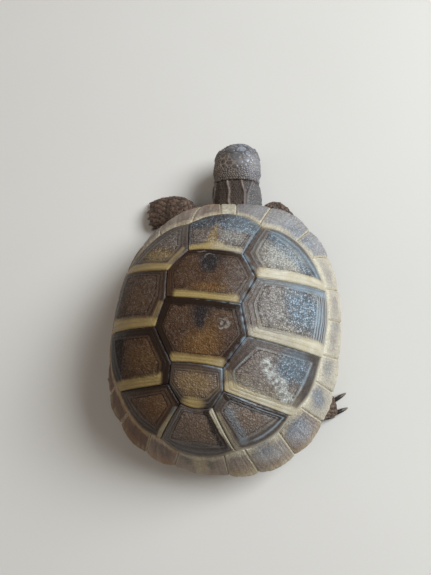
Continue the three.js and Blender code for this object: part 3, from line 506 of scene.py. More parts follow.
def build_plate(name, sides, core, rings=2.6, ring_height=0.085, seed=1):
    edge, inner = plate_rings(sides, core)
    ex, ey = from_flat(edge[:, 0], edge[:, 1])
    e3 = np.stack([ex, ey, dome_height(ex, ey)], 1)
    length = np.linalg.norm(e3 - np.roll(e3, -1, 0), axis=1).sum()
    N = int(round(length / (FINE * 0.92) / 32)) * 32
    edge, inner = resample(edge, inner, N)
    inner = soften(inner, max(6, int((N / 90) ** 2)))
    edge = soften(edge, 3)
    # draw the edge in from the seam
    ex, ey = from_flat(edge[:, 0], edge[:, 1])
    e3 = np.stack([ex, ey, dome_height(ex, ey)], 1)
    ix, iy = from_flat(inner[:, 0], inner[:, 1])
    i3 = np.stack([ix, iy, dome_height(ix, iy)], 1)
    span = np.linalg.norm(e3 - i3, axis=1)
    centre = inner.mean(0)
    edge = edge + (inner - edge) * (GAP / span)[:, None]
    grow_rows = int(np.ceil(np.percentile(span, 80) / FINE))
    P, G, T, SIZES = [], [], [], []
    for k in range(grow_rows + 1):
        g = 1 - k / grow_rows
        # finer rows near the seam, where the edge rolls down
        g = mix(g, g ** 0.8, 0.5)
        P.append(mix(inner, edge, g))
        G.append(np.full(N, g))
        T.append(np.full(N, 1.0))
        SIZES.append(N)
    reach = np.linalg.norm(i3 - i3.mean(0), axis=1).mean()
    core_rows = int(np.ceil(reach / FINE))
    n, step = N, 1
    for k in range(1, core_rows):
        t = 1 - k / core_rows
        if n > 32 and n * 0.62 > N * t and n % 2 == 0:
            n //= 2
            step *= 2
        loop = centre + (inner[::step] - centre) * t
        P.append(loop)
        G.append(np.full(n, 0.0))
        T.append(np.full(n, t))
        SIZES.append(n)
    top_count = sum(SIZES)
    flat = np.concatenate(P)
    g, t = np.concatenate(G), np.concatenate(T)
    who = np.concatenate([np.arange(s) * (N // s) for s in SIZES])
    x, y = from_flat(flat[:, 0], flat[:, 1])
    local_span = span[who]
    dist = np.where(t >= 1, (1 - g) * local_span, local_span + (1 - t) * reach)
    p2 = np.stack([x, y, dome_height(x, y)], 1)
    turn = who / N
    wob = (0.10 * fbm(p2, 3.2, 3, seed) + 0.06 * noise(p2, 0.6, seed + 5)) * smooth(0.0, 0.12, np.where(t >= 1, g, 0.0))
    share = np.where(t >= 1, mix(0.72, 1.0, g), 0.72 * t)
    f1, f2, ident = cells(p2 + 0.10 * np.stack([noise(p2, 0.6, seed + 7), noise(p2, 0.6, seed + 8), noise(p2, 0.6, seed + 9)], 1), 0.41, seed)
    grain = clip((f2 - f1) * 2.2) ** 0.6
    keep_grain = 0.62 if name == "vertebral_1" else 0.22
    worn = np.where(t >= 1, 1 - (1 - keep_grain) * smooth(0.0, 0.25, g), 1.0) * smooth(0.05, 0.4, dist)
    lift = (0.8 * BULGE * (1 - share ** 2)
            + np.where(t >= 1, growth(g, wob, rings, ring_height) * (1 - 0.35 * g), -0.25 * ring_height * np.exp(-((1 - t) * reach / 0.12) ** 2))
            + 0.04 * np.where(t >= 1, 1 - smooth(0, 0.3, g), 1.0)
            + worn * (0.100 * (grain - 0.6) + 0.060 * (ident - 0.5))
            + 0.05 * fbm(p2, 2.4, 3, seed + 3)
            + roll_down(dist))
    top = on_dome(x, y, lift)
    # wall and underside
    wx, wy = x[:N], y[:N]
    wall = [on_dome(wx, wy, np.full(N, -0.75)), on_dome(wx, wy, np.full(N, -SCUTE))]
    sizes_under, under = [N, N], []
    n, step = N, 1
    for share_u in (0.86, 0.6, 0.32):
        n //= 2
        step *= 2
        loop = centre + (edge[::step] - centre) * share_u
        ux, uy = from_flat(loop[:, 0], loop[:, 1])
        under.append(on_dome(ux, uy, np.full(n, -SCUTE)))
        sizes_under.append(n)
    cx, cy = from_flat(centre[:1], centre[1:])
    tip_top = on_dome(cx, cy, np.array([lift[-SIZES[-1]:].mean()]))
    tip_low = on_dome(cx, cy, np.array([-SCUTE]))
    pts = np.concatenate([top] + wall + under + [tip_top, tip_low])
    quads, tris = ring_faces(SIZES)
    start_last = top_count - SIZES[-1]
    m = SIZES[-1]
    j = np.arange(m)
    tip = len(pts) - 2
    fan = np.stack([start_last + j, start_last + (j + 1) % m, np.full(m, tip)], 1)
    # underside rings follow the top's first ring
    chain = [N] + sizes_under
    q2, t2 = [], []
    starts = [0]
    offset = top_count
    for s in sizes_under:
        starts.append(offset)
        offset += s
    for a, b, na, nb in zip(starts[:-1], starts[1:], chain[:-1], chain[1:]):
        jj = np.arange(nb)
        if na == nb:
            kk = (jj + 1) % na
            q2.append(np.stack([a + kk, a + jj, b + jj, b + kk], 1))
        else:
            o0, o1, o2 = a + 2 * jj, a + 2 * jj + 1, a + (2 * jj + 2) % na
            i0, i1 = b + jj, b + (jj + 1) % nb
            t2 += [np.stack([o1, o0, i0], 1), np.stack([i1, o1, i0], 1), np.stack([o2, o1, i1], 1)]
    m2 = sizes_under[-1]
    j = np.arange(m2)
    fan2 = np.stack([starts[-1] + (j + 1) % m2, starts[-1] + j, np.full(m2, tip + 1)], 1)
    quads = np.concatenate([quads] + q2)
    tris = np.concatenate([tris, fan] + t2 + [fan2])
    low = len(pts) - top_count
    pit = 1 - smooth(0.02, 0.20, f2 - f1)
    info = dict(x=x, y=y, g=g, t=t, dist=dist, span=local_span, worn=worn, wob=wob, p=p2, ident=ident, low=low,
                turn=turn, reach=reach, pit=pit, crown=smooth(0.16, 0.42, f2 - f1) * (0.35 + 0.65 * smooth(0.2, 0.7, ident)))
    return pts, quads, tris, info


def band(v, a, b, soft=0.25):
    return smooth(a - soft, a + soft, v) * (1 - smooth(b - soft, b + soft, v))


def line_mask(x, y, x0, y0, x1, y1, width, soft=0.35):
    """1 near a straight stroke in plan."""
    dx, dy = x1 - x0, y1 - y0
    t = clip(((x - x0) * dx + (y - y0) * dy) / (dx * dx + dy * dy))
    d = np.hypot(x - x0 - t * dx, y - y0 - t * dy)
    return 1 - smooth(width * (1 - soft), width * (1 + soft), d)


def ring_colours(i, name):
    """Dark grooves and pale ridges of the growth zone, from the ring phase."""
    zone = np.where(i["t"] >= 1, i["g"], 0.0)
    phase = clip(zone) * i["rings"] + i["wob"]
    groove = (1 - np.abs(np.sin(np.pi * phase)) ** 0.55) * np.where(i["t"] >= 1, 1.0, 0.0)
    border = np.exp(-((zone * i["span"] - 0.02) / 0.13) ** 2) * np.where(i["t"] >= 1, 1.0, 0.0)
    inner = np.where(i["t"] < 1, np.exp(-(((1 - i["t"]) * i["reach"]) / 0.10) ** 2), 0)
    ridge = band(phase, 0.28, 0.72, 0.14)
    second = band(phase, 1.3, 1.7, 0.16)
    return zone, phase, clip(groove), np.maximum(border, inner), ridge, second


def plate_marks(name, i):
    """Markings of a back plate as weights: dark, yellow, ochre, pale and ink pigment, some of the pale a painted
    highlight; a painted cool sheen over pale new horn; bleaching, paler toward the lit side as painted light.
    """
    wx = i["x"] + 0.30 * noise(i["p"], 1.5, 31) + 0.15 * noise(i["p"], 0.5, 32)
    wy = i["y"] + 0.30 * noise(i["p"], 1.5, 33) + 0.15 * noise(i["p"], 0.5, 34)
    x, y, g, t, d = wx, wy, i["g"], i["t"], i["dist"]
    rx = i["x"] + 0.16 * noise(i["p"], 2.4, 35) + 0.05 * noise(i["p"], 0.6, 36)
    ry = i["y"] + 0.16 * noise(i["p"], 2.4, 37) + 0.05 * noise(i["p"], 0.6, 38)
    zone, phase, groove, border, ridge, second = ring_colours(i, name)
    grown = smooth(0.02, 0.14, zone)
    zero = np.zeros_like(x)
    side = "right" if "right" in name else "left" if "left" in name else "mid"
    dark = 0.66 * grown * (1 - 0.45 * ridge - 0.25 * second)
    yellow, ochre, pale, ink, mist = zero, zero.copy(), zero.copy(), zero.copy(), zero.copy()
    # greyer, paler horn toward the right and away from the rear: partly bleaching, partly painted light on the lit side
    bleach = smooth(1.5, 12.0, i["x"]) * smooth(-21, -10, i["y"])
    rear = near = zero
    if name == "vertebral_1":
        top = y + 0.25 * np.abs(x)
        foot = 19.5 + 1.9 * np.exp(-((x + 0.9) / 1.3) ** 2) - 0.35 * smooth(1.0, 4.0, x)
        ink = clip(1.0 * smooth(foot - 0.9, foot + 0.6, y) * (0.80 + 0.20 * noise(i["p"], 0.9, 39)))
        wedge = clip(1 - np.abs(x + 0.9) / np.maximum(0.35, (21.0 - y) * 0.40)) * band(y, 15.8, 20.7, 0.4)
        crest = 15.55 + 1.3 * np.exp(-((rx + 0.3) / 2.2) ** 2)
        rear = smooth(crest + 0.65, crest - 0.45, ry) * band(rx, -5.2, 5.1, 0.5)
        ochre = 0.85 * smooth(0.05, 0.55, wedge) + 0.35 * rear * smooth(16.0, 17.2, y)
        yellow = 0.58 * smooth(0.12, 0.72, wedge)
        pale = 0.22 * blob(x, y, 2.7, 18.3, 2.4, 2.0)
        bleach = np.maximum(bleach * 0.8, 0.40 * smooth(-3, 2, x) + 0.45)
        # a painted cool highlight line along the seam on the right, fainter on the left
        mist = 0.75 * np.exp(-((d - 0.30) / 0.16) ** 2) * smooth(3.5, 5.5, x) + 0.35 * second * smooth(-2, -4, x)
        mist = np.maximum(mist, 0.56 * ink * smooth(-1.5, 3.0, x))
        dark = np.maximum(dark, 0.65 * smooth(24.2, 25.0, y) * smooth(2.5, -2.0, x))
    elif name == "vertebral_2":
        rear = smooth(6.75, 5.55, ry) * band(rx, -6.1, 5.9, 0.6)
        dark = np.maximum(dark, 0.85 * grown * (1 - 0.4 * ridge) * smooth(10.5, 13.5, y))
        spot = clip(1.0 * blob(x, y, -0.35, 12.5, 1.35, 2.3, 0, 0.55) + 0.40 * blob(x, y, 0.1, 12.7, 3.2, 1.7, 0, 0.7))
        ink = 0.72 * spot
        dark = np.maximum(dark, 0.66 * spot)
        dark = dark * (1 - 0.30 * smooth(-6.2, -7.0, x))
        arch = np.exp(-((np.hypot(x + 0.35, y - 12.75) - 1.15) / 0.15) ** 2) * smooth(12.4, 12.9, y)
        pale = 0.26 * arch + 0.20 * blob(x, y, -2.3, 14.2, 1.0, 0.28)
        ochre = 0.95 * band(y, 6.4, 8.0, 0.9) * np.exp(-((x - 0.6) / 3.6) ** 2)
        bleach = 0.02 + 0.26 * smooth(1, 6, x)
    elif name == "vertebral_3":
        rear = smooth(-4.75, -5.85, ry) * band(rx, -5.1, 4.8, 0.5)
        dark = np.maximum(dark, 0.95 * smooth(3.0, 3.6, y))
        dark = np.maximum(dark, 0.85 * grown * (1 - 0.5 * ridge) * smooth(3.0, 4.5, np.abs(x)))
        dark = np.maximum(dark, 0.9 * grown * smooth(-3.0, -5.5, x) * smooth(-6.6, -5.5, y))
        spot = clip(1.0 * blob(x, y, -0.45, 1.9, 0.95, 2.4, 0, 0.5) + 0.5 * blob(x, y, -0.4, 2.8, 2.3, 1.4, 0, 0.7))
        ink = 0.70 * spot
        dark = np.maximum(dark, 0.82 * spot)
        ochre = clip(0.95 * blob(x, y, 0.5, -3.6, 3.1, 2.8, 0, 0.8) + 0.30 * blob(x, y, 2.0, -0.6, 2.2, 2.4, 0, 0.8) + 0.7 * rear)
        dark = np.maximum(dark, 0.14)
        # a pale ring on the right of the plate is a painted highlight, with a darker ring inside it
        v3_ring_highlight = np.hypot((x - 3.6) / 1.2, (y - 0.9) / 1.0) + 0.22 * noise(i["p"], 0.6, 45)
        pale = 0.40 * np.exp(-((v3_ring_highlight - 0.95) / 0.22) ** 2) * smooth(2.4, 3.6, x) + 0.35 * smooth(0.45, 0.2, v3_ring_highlight)
        ink = np.maximum(ink, 0.45 * np.exp(-((v3_ring_highlight - 0.55) / 0.2) ** 2))
        bleach = 0.02 + 0.07 * smooth(2, 7, x)
    elif name == "vertebral_4":
        rear = 0.85 * blob(rx, ry, -0.2, -13.5, 1.9, 1.1, 0, 0.55)
        ochre = 0.55 * blob(x, y, 0, -10, 4.2, 2.6, 0, 0.6)
        yellow = 0.30 * blob(x, y, 0, -10.3, 3.8, 2.4, 0, 0.7)
        pale = 0.10 * ridge
        dark = np.maximum(dark, 0.85 * grown * (1 - ridge) * smooth(-9, -11, y))
        bleach = 0.25 + 0.2 * smooth(0, 4, x)
        mist = 0.3 * second * smooth(-9.0, -11.0, y)
    elif name == "vertebral_5":
        left = line_mask(x, y, -3.3, -14.6, -6.6, -20.6, 1.3, 0.25)
        right = line_mask(x, y, 2.6, -14.8, 5.3, -20.6, 0.85, 0.35)
        dark = np.maximum(dark * mix(0.55, 0.9, smooth(-4.5, -3.0, x)), np.maximum(0.42 * left, 0.92 * right))
        dark = np.maximum(dark, 0.75 * smooth(-20.6, -21.3, y))
        strip = line_mask(rx, ry, 3.45, -14.9, 7.6, -21.4, 0.55, 0.5)
        yellow = 0.75 * strip
        pale = 0.45 * strip
        ochre = 0.35 * blob(x, y, 0.2, -18.0, 3.4, 2.8, 0, 0.7)
        mist = 0.3 * np.exp(-((d - 0.75) / 0.2) ** 2) * (x < 0)
        bleach = 0.36 + zero
    elif name == "costal_right_1":
        rear = smooth(12.75, 11.75, ry - 0.03 * (rx - 12)) * smooth(8.0, 9.4, rx)
        near = smooth(15.6, 12.3, ry - 0.03 * (rx - 12)) * smooth(8.4, 10.4, rx)
        ink = 1.0 * line_mask(x, y, 10.6, 19.4, 18.2, 13.4, 1.7, 0.5)
        core = line_mask(x, y, 13.6, 17.3, 17.9, 13.4, 0.55, 0.7)
        dark = np.maximum(dark, 0.75 * smooth(18.6, 19.6, x + 0.9 * y - 9.0) * (1 - rear))
        pale = 0.52 * blob(x, y, 12.2, 15.0, 4.2, 2.7, -20, 0.6) + 0.12 * ridge
        ochre = 0.35 * smooth(11.5, 8.5, x) * band(y, 11, 16, 1)
        mist = (0.30 * second + 0.42 * ink) * (1 - 0.75 * core)
        dark = np.maximum(dark, 0.50 * core)
    elif name == "costal_right_2":
        rear = smooth(1.35, 0.15, ry + 0.06 * (rx - 12)) * smooth(7.4, 9.6, rx)
        near = smooth(4.0, 0.8, ry + 0.06 * (rx - 12)) * smooth(8.0, 10.4, rx) * smooth(19.5, 17.0, rx)
        ink = clip(0.95 * blob(x, y, 17.1, 5.6, 2.9, 3.9, 25, 0.5) + 0.45 * smooth(8.8, 9.4, y) * smooth(12, 17, x))
        stripes = np.abs(np.sin(np.pi * (d + 0.12 * noise(i["p"], 1.4, 46) - 0.12) / 0.92)) ** 2.0 * smooth(18.6, 19.2, i["x"]) * (1 - rear)
        dark = np.maximum(dark * (1 - smooth(18.8, 19.4, i["x"])), 0.95 * (1 - stripes) * smooth(18.8, 19.4, i["x"]) * (1 - rear))
        mist = clip(0.9 * stripes * (0.75 + 0.25 * noise(i["p"], 0.7, 40)) + 0.2 * smooth(8.7, 9.3, y) + 0.15 * second + 0.62 * ink)
        pale = 0.16 * blob(x, y, 13.0, 4.0, 4.0, 3.4, 0, 0.6) + 0.14 * ridge * smooth(12, 9.5, x)
        ochre = 0.45 * grown * (1 - ridge) * smooth(10.8, 9.2, x) * smooth(9.0, 7.0, y)
    elif name == "costal_right_3":
        rear = line_mask(rx, ry, 6.2, -10.0, 17.2, -13.3, 1.15, 0.5)
        rear = np.maximum(rear, 0.45 * line_mask(rx, ry, 5.5, -7.6, 6.2, -10.0, 0.45, 0.6))
        near = line_mask(rx, ry, 6.6, -9.6, 16.6, -12.6, 2.6, 0.75)
        ink = 1.0 * blob(x, y, 16.6, -5.0, 2.9, 2.9, 0, 0.55)
        dark = np.maximum(dark, 0.85 * grown * smooth(-1.9, -1.0, y) * smooth(8, 12, x))
        dark = np.maximum(dark, 0.8 * grown * smooth(17.4, 18.6, x) * (1 - rear))
        glint = line_mask(x, y, 12.0, -5.2, 15.7, -10.4, 1.05, 0.7) * clip(0.62 + 0.75 * noise(i["p"], 0.60, 41))
        pale = 0.16 * ridge * smooth(12, 8.5, x) + 1.0 * glint
        ink = ink * (1 - 0.6 * glint)
        mist = 0.4 * ridge * smooth(-1.0, -2.6, -np.abs(y + 2.2)) + 0.6 * glint + 0.42 * ink
        bleach = bleach * 0.60
    elif name == "costal_right_4":
        strip = line_mask(rx, ry, 4.4, -15.2, 8.0, -21.2, 0.6, 0.5)
        dark = np.maximum(dark, 0.95 * line_mask(x, y, 5.6, -11.6, 16.4, -14.4, 0.65, 0.3))
        outer = smooth(0.0, 1.0, 1 - i["dist"] / 1.9) * smooth(9.5, 11.5, x)
        dark = np.maximum(dark, 0.9 * outer * (0.5 + 0.5 * groove))
        mist = clip(0.7 * second * smooth(9.5, 11.5, x) + 0.45 * line_mask(x, y, 6.3, -14.0, 9.0, -19.2, 0.8, 0.5))
        yellow, pale = 0.4 * strip, 0.2 * strip
        ochre = 0.35 * blob(x, y, 9.6, -14.8, 2.6, 1.9, 0, 0.6)
        bleach = 0.55 + zero
        rear = strip * 0.35
    elif name == "costal_left_1":
        rear = smooth(12.0, 11.0, ry) * smooth(-7.5, -8.5, rx)
        rear = np.maximum(rear, 0.45 * line_mask(rx, ry, -6.3, 14.6, -8.6, 11.2, 0.5, 0.6))
        ochre = 0.80 * blob(x, y, -11.4, 13.4, 3.6, 1.6, 0, 0.6)
        yellow = 0.55 * blob(x, y, -11.4, 13.2, 3.2, 1.3, 0, 0.6)
        bleach = 0.42 + zero
        dark = np.maximum(dark, 0.75 * grown * (1 - ridge) * smooth(19.6, 20.6, y - 0.9 * (x + 9)) * (1 - rear))
    elif name == "costal_left_2":
        rear = 0.85 * smooth(1.25, -0.05, ry - 0.04 * (rx + 13)) * smooth(-8.0, -9.4, rx)
        rear = np.maximum(rear, 0.40 * line_mask(rx, ry, -8.5, 3.6, -9.4, 0.6, 0.45, 0.6))
        dark = np.maximum(dark, 0.9 * smooth(-18.9, -19.6, x) * (1 - rear))
        dark = np.maximum(dark, 0.75 * grown * smooth(9.2, 9.7, y))
        ochre = 0.30 * blob(x, y, -13.5, 4.0, 4.2, 3.2, 0, 0.7)
        bleach = 0.13 + zero
    elif name == "costal_left_3":
        rear = 0.85 * line_mask(rx, ry, -6.4, -10.1, -16.9, -12.8, 1.1, 0.5) * smooth(-6.0, -7.0, rx)
        ink = 0.20 * smooth(-14.0, -16.0, x) * smooth(-10.8, -9.8, y)
        dark = np.maximum(dark, 1.10 * smooth(-14.4, -16.6, x) * smooth(-10.8, -9.8, y))
        dark = np.maximum(dark, 0.95 * grown * (1 - 0.5 * ridge) * (1 - rear))
        ochre = 0.35 * blob(x, y, -10.5, -6.5, 3.6, 3.4, 0, 0.7)
        yellow = 0.12 * blob(x, y, -9.5, -7.5, 3.0, 2.6, 0, 0.7)
        bleach = 0.02 + zero
    elif name == "costal_left_4":
        strip = line_mask(rx, ry, -3.4, -15.0, -7.7, -21.2, 0.5, 0.5)
        dark = np.maximum(dark, 0.95 * smooth(0.0, 1.0, 1 - i["dist"] / 2.2) * (1 - strip))
        yellow, pale = 0.6 * strip * smooth(-15.5, -18.0, y), 0.25 * strip
        rear = 0.7 * strip * smooth(-15.5, -18.0, y)
        ochre = 0.45 * blob(x, y, -7.6, -15.5, 2.9, 2.6, 0, 0.7)
        bleach = 0.08 + zero
    corner = np.maximum(blob(x, y, 8.3, 22.4, 1.4, 1.2, 0, 0.6), blob(x, y, -8.1, 22.4, 1.4, 1.2, 0, 0.6))
    yellow = np.maximum(yellow, 0.8 * corner)
    near = near * (1 - clip(1.3 * ink)) * clip(0.75 + 0.4 * noise(i["p"], 1.3, 47))
    yellow, pale = np.maximum(yellow, 0.34 * near), np.maximum(pale, 0.24 * near)
    yellow = np.maximum(yellow, rear * (mix(0.66, 1.0, smooth(15.0, 19.0, i["x"])) if name == "costal_right_2" else 0.80 if name == "vertebral_3" else 1.0))
    # paler toward the lit right side: painted light
    lit_side_paling = smooth(-4, 16, i["x"])
    # the yellow bands pale toward the lit right side as painted light, and near the front middle as their own colour
    band_pale_and_lit = mix(0.0, 0.62, smooth(-1.5, 13, i["x"])) + 0.38 * smooth(13, 15.5, i["y"]) * smooth(-3, 1, i["x"])
    if name == "costal_right_2":
        band_pale_and_lit = band_pale_and_lit * mix(0.56, 1.0, smooth(14.5, 19.0, i["x"]))
    pale = np.maximum(pale, rear * band_pale_and_lit * (0.8 + 0.2 * noise(i["p"], 1.2, 42)))
    keep = 1 - 0.93 * rear
    dark, ink, mist, ochre = dark * keep, ink * keep, mist * keep, ochre * np.maximum(keep, 0.3)
    if name == "costal_right_2":
        mist = np.maximum(mist, 0.5 * rear * smooth(19.0, 15.0, i["x"]))
    # the grooves are darker, less so toward the lit right side where the paling is painted light; a crisp border round
    # the areola
    dark = np.maximum(dark, 0.85 * groove * grown * (1 - 0.72 * rear) * (1 - 0.55 * lit_side_paling))
    dark = np.maximum(dark, 0.9 * border * (1 - 0.55 * rear))
    uneven = 0.6 + 0.4 * noise(i["p"], 1.1, 43)
    pale = np.maximum(pale, mix(0.04, 0.30, lit_side_paling) * ridge * (1 - rear) * uneven)
    # the newest horn along the seams is pale; the cool line toward the light, dull on the other side, is a painted
    # highlight
    seam_pale_and_sheen = np.exp(-(i["dist"] / (0.30 + 0.16 * band(i["x"], 3.5, 11.0, 1.5) * band(i["y"], -11.0, 15.0, 2.0))) ** 2)
    broken = clip(0.55 + 0.65 * noise(i["p"], 0.7, 44))
    mist = np.maximum(mist, seam_pale_and_sheen * (mix(0.22, 0.75, smooth(-3, 6, i["x"])) + 0.25 * band(i["x"], 3.5, 11.0, 1.5)) * (1 - rear) * smooth(-20, -8, i["y"]) * broken)
    dark = dark * (1 - 0.5 * seam_pale_and_sheen * smooth(-2, 5, i["x"]) * broken)
    # along the rim seam the horn turns cream, more strongly toward the lit right side, which is painted light
    rim_near = smooth(0.055, 0.0, seam_share(np.arctan2(i["y"], i["x"]) / DEG) - np.hypot(i["x"], i["y"]) / outline(np.arctan2(i["y"], i["x"]) / DEG))
    cream = rim_near * mix(0.28, 0.85, smooth(-12, 12, i["x"])) * smooth(0.035, 0.0, seam_share(np.arctan2(i["y"], i["x"]) / DEG) - np.hypot(i["x"], i["y"]) / outline(np.arctan2(i["y"], i["x"]) / DEG))
    yellow = np.maximum(yellow, 0.75 * cream)
    pale = np.maximum(pale, 0.7 * cream * lit_side_paling)
    dark, ink = dark * (1 - 0.85 * cream), ink * (1 - 0.85 * cream)
    # the rear plates are smoother and duller
    quiet = {"vertebral_4": 0.70, "vertebral_5": 0.52, "costal_right_4": 0.62, "costal_left_4": 0.60, "costal_right_3": 0.85}.get(name, 1.0)
    speck = (i["ident"] - 0.5) * i["worn"] * quiet
    return dict(dark=clip(dark), yellow=clip(yellow), ochre=clip(ochre), pale=clip(pale), ink=clip(ink), mist=clip(mist),
                bleach=clip(bleach), grain=i["worn"] * quiet * (1 - 0.75 * rear), speck=speck, rim=d, pit=i["pit"], crown=i["crown"])


def padded_attributes(marks, extra, fill=None):
    out = {}
    for k, v in marks.items():
        tail = np.full(extra, float(v.mean()) if fill is None else fill.get(k, 0.0))
        out[k] = np.concatenate([v, tail])
    return out


# ------------------------------------------------------------------ rim plates
def rim_seams():
    right = [(s[0], s[1]) for s in MARGINAL_SEAMS]
    left = [(180 - s[2], 180 - s[3]) for s in MARGINAL_SEAMS]
    plates = {"nuchal": (right[0], left[0], 0)}
    for k in range(11):
        plates["marginal_right_%d" % (k + 1)] = (right[k], right[k + 1], k + 1)
        plates["marginal_left_%d" % (k + 1)] = (left[k], left[k + 1], k + 1)
    plates["supracaudal"] = (right[11], (left[11][0] - 360, left[11][1] - 360), 12)
    return plates


def rim_marks(name, i):
    x, y, t, du, d, p = i["x"], i["y"], i["t"], i["du"], i["dist"], i["p"]
    n = int(name.split("_")[-1]) if name[-1].isdigit() else 0
    side = "right" if "right" in name else "left" if "left" in name else "mid"
    zero = np.zeros_like(x)
    dark, yellow, ochre, pale, cool, mist = (zero.copy() for _ in range(6))
    # greyer, paler horn toward the right and away from the rear: partly bleaching, partly painted light on the lit side
    bleach = smooth(-6, 12, x) * smooth(-24, -12, y) + zero
    wx = x + 0.4 * noise(p, 1.3, 51)
    wy = y + 0.4 * noise(p, 1.3, 52)
    top_edge = 1 - smooth(0.08, 0.26, t + 0.05 * noise(p, 0.8, 53))
    along = 0.5 + 0.5 * noise(np.stack([np.arctan2(y, x) * 22, t * 0.5, zero], 1), 0.45, 55)   # streaks across the plate
    if name == "nuchal":
        pale = 0.75 + 0.2 * noise(p, 0.9, 54)
        yellow = 0.45 + zero
    elif name == "supracaudal":
        dark = 0.85 * blob(wx, wy, 2.0, -24.6, 1.1, 1.5, 0, 0.6) + 0.85 * blob(wx, wy, -2.4, -24.5, 1.1, 1.5, 0, 0.6)
        ochre = 0.5 + zero
        bleach = bleach + 0.45
        yellow = 0.65 * blob(wx, wy, 0.0, -25.2, 1.4, 2.1, 0, 0.6) + 0.35 * top_edge + 0.3 * smooth(0.8, 1.0, t)
        pale = 0.25 * top_edge + 0.20 * along + 0.16
    elif side == "right":
        if n <= 3:
            cool = 0.22 + 0.5 * blob(wx, wy, 14.5, 21.6, 3.8, 1.6, -38, 0.6)
            mist = 0.35 + 0.35 * along
            dark = 0.25 * (1 - along) + 0.15 * smooth(0.5, 0.9, t)
            yellow = 0.75 * top_edge
            pale = 0.5 * top_edge + 0.15
            ochre = 0.25 * smooth(0.75, 1.0, t)
        elif n <= 8:
            yellow = 0.34 + 0.3 * top_edge + 0.25 * smooth(0.7, 1.0, t) + zero
            pale = 0.42 + 0.30 * top_edge + 0.2 * along
            mist = 0.25 + 0.25 * (1 - along)
            cool = 0.62 * blob(wx, wy, 22.4, -3.9, 1.0, 1.7, 0, 0.6) + 0.9 * blob(wx, wy, 21.2, -9.6, 1.5, 2.1, 15, 0.6)
            cool = cool + 0.5 * blob(wx, wy, 23.2, 4.6, 0.7, 1.6, 0, 0.6)
            mist = np.maximum(mist * (1 - cool), 0.45 * cool)
            smudge = blob(t + 0.10 * noise(p, 1.1, 56), i["u"] + 0.10 * noise(p, 1.0, 57), 0.46, 0.5, 0.26, 0.34, 0, 0.7) * (1 - clip(1.4 * cool)) * (1.0 if n <= 6 else 0.5)
            dark, ochre = 0.34 * smudge * (0.7 + 0.3 * along), 0.22 * smudge
            yellow, pale = yellow * (1 - 0.55 * smudge), pale * (1 - 0.6 * smudge)
        else:
            cool = 0.75 * blob(wx, wy, 17.6, -15.6, 1.9, 1.5, 40, 0.6) + 0.75 * blob(wx, wy, 12.2, -20.0, 2.0, 1.3, 25, 0.6)
            mist = 0.80 * blob(wx, wy, 18.6, -16.6, 2.4, 1.7, 40, 0.6) + 0.75 * blob(wx, wy, 13.0, -21.2, 2.4, 1.5, 25, 0.6)
            mist = mist * (0.7 + 0.3 * along) + 0.2 * along
            bleach = bleach + 0.35
            yellow = 0.62 * top_edge + 0.5 * smooth(0.72, 0.98, t)
            pale = 0.45 * top_edge + 0.15 * smooth(0.8, 1.0, t) + (0.34 if n >= 10 else 0.0) * (0.5 + 0.5 * along)
            ochre = (0.75 if n == 11 else 0.35) * smooth(0.25, 0.8, t) + 0.15
            dark = 0.35 * (1 - along) * (1 - smooth(0.7, 0.95, t))
            if n == 11:
                yellow = yellow + 0.42 * smooth(0.45, 0.85, t + 0.10 * noise(p, 1.2, 58))
    else:
        ochre = 0.35 + 0.45 * smooth(0.55, 0.95, t)
        yellow = 0.46 * top_edge + 0.26 * smooth(0.7, 0.98, t)
        pale = 0.30 * top_edge * (0.5 + 0.5 * along) + 0.12 * along * smooth(0.2, 0.5, t)
        dark = (0.62 * blob(t, i["u"], 0.42, 0.45, 0.30, 0.42, 0, 0.5)) * (0.6 + 0.4 * (1 - along))
        if n <= 3:
            bleach = 0.45 + zero
            dark = dark * 0.6
            pale = pale + 0.25 * along
        elif n == 11:
            bleach = 0.30 + zero
            ochre = ochre + 0.3
            pale = pale + 0.16 * along
        else:
            # the rear plates on the left are darker here: painted shade
            dark = np.maximum(dark, 0.55 * smooth(5, 9, n) * smooth(0.1, 0.3, t) * (0.75 if n == 10 else 1.0))
            ochre = ochre + 0.25 * smooth(7, 10, n)
            edge = smooth(0.62, 0.80, t) * (1 - smooth(0.90, 1.0, t))
            pale = pale + 0.20 * edge * along * smooth(3, 6, n)
    groove = (1 - np.abs(np.sin(np.pi * i["phase"])) ** 0.6) * (1 - smooth(1.0, 1.7, i["ring_d"]))
    dark = np.maximum(dark, 0.42 * groove * (1 - 0.7 * pale))
    # pale new horn along the seams between rim plates, stronger on the right as a painted highlight
    seam_pale_and_sheen = 1 - smooth(0.12, 0.42, du)
    strength = {"right": 0.8, "mid": 0.6, "left": 0.50}[side]
    pale = np.maximum(pale, strength * 0.8 * seam_pale_and_sheen)
    yellow = np.maximum(yellow, strength * seam_pale_and_sheen)
    dark, cool = dark * (1 - 0.8 * seam_pale_and_sheen), cool * (1 - 0.8 * seam_pale_and_sheen)
    yellow, pale = yellow * (1 - 0.9 * clip(cool)), pale * (1 - 0.8 * clip(cool))
    return dict(dark=clip(dark), yellow=clip(yellow), ochre=clip(ochre), pale=clip(pale), ink=clip(cool), mist=clip(mist),
                bleach=clip(bleach), grain=np.full_like(x, 0.60 if side == "right" and 4 <= n <= 8 else 0.8), speck=i["speck"] * 0.8, rim=d,
                pit=i["pit"] * 0.7, crown=i["crown"])


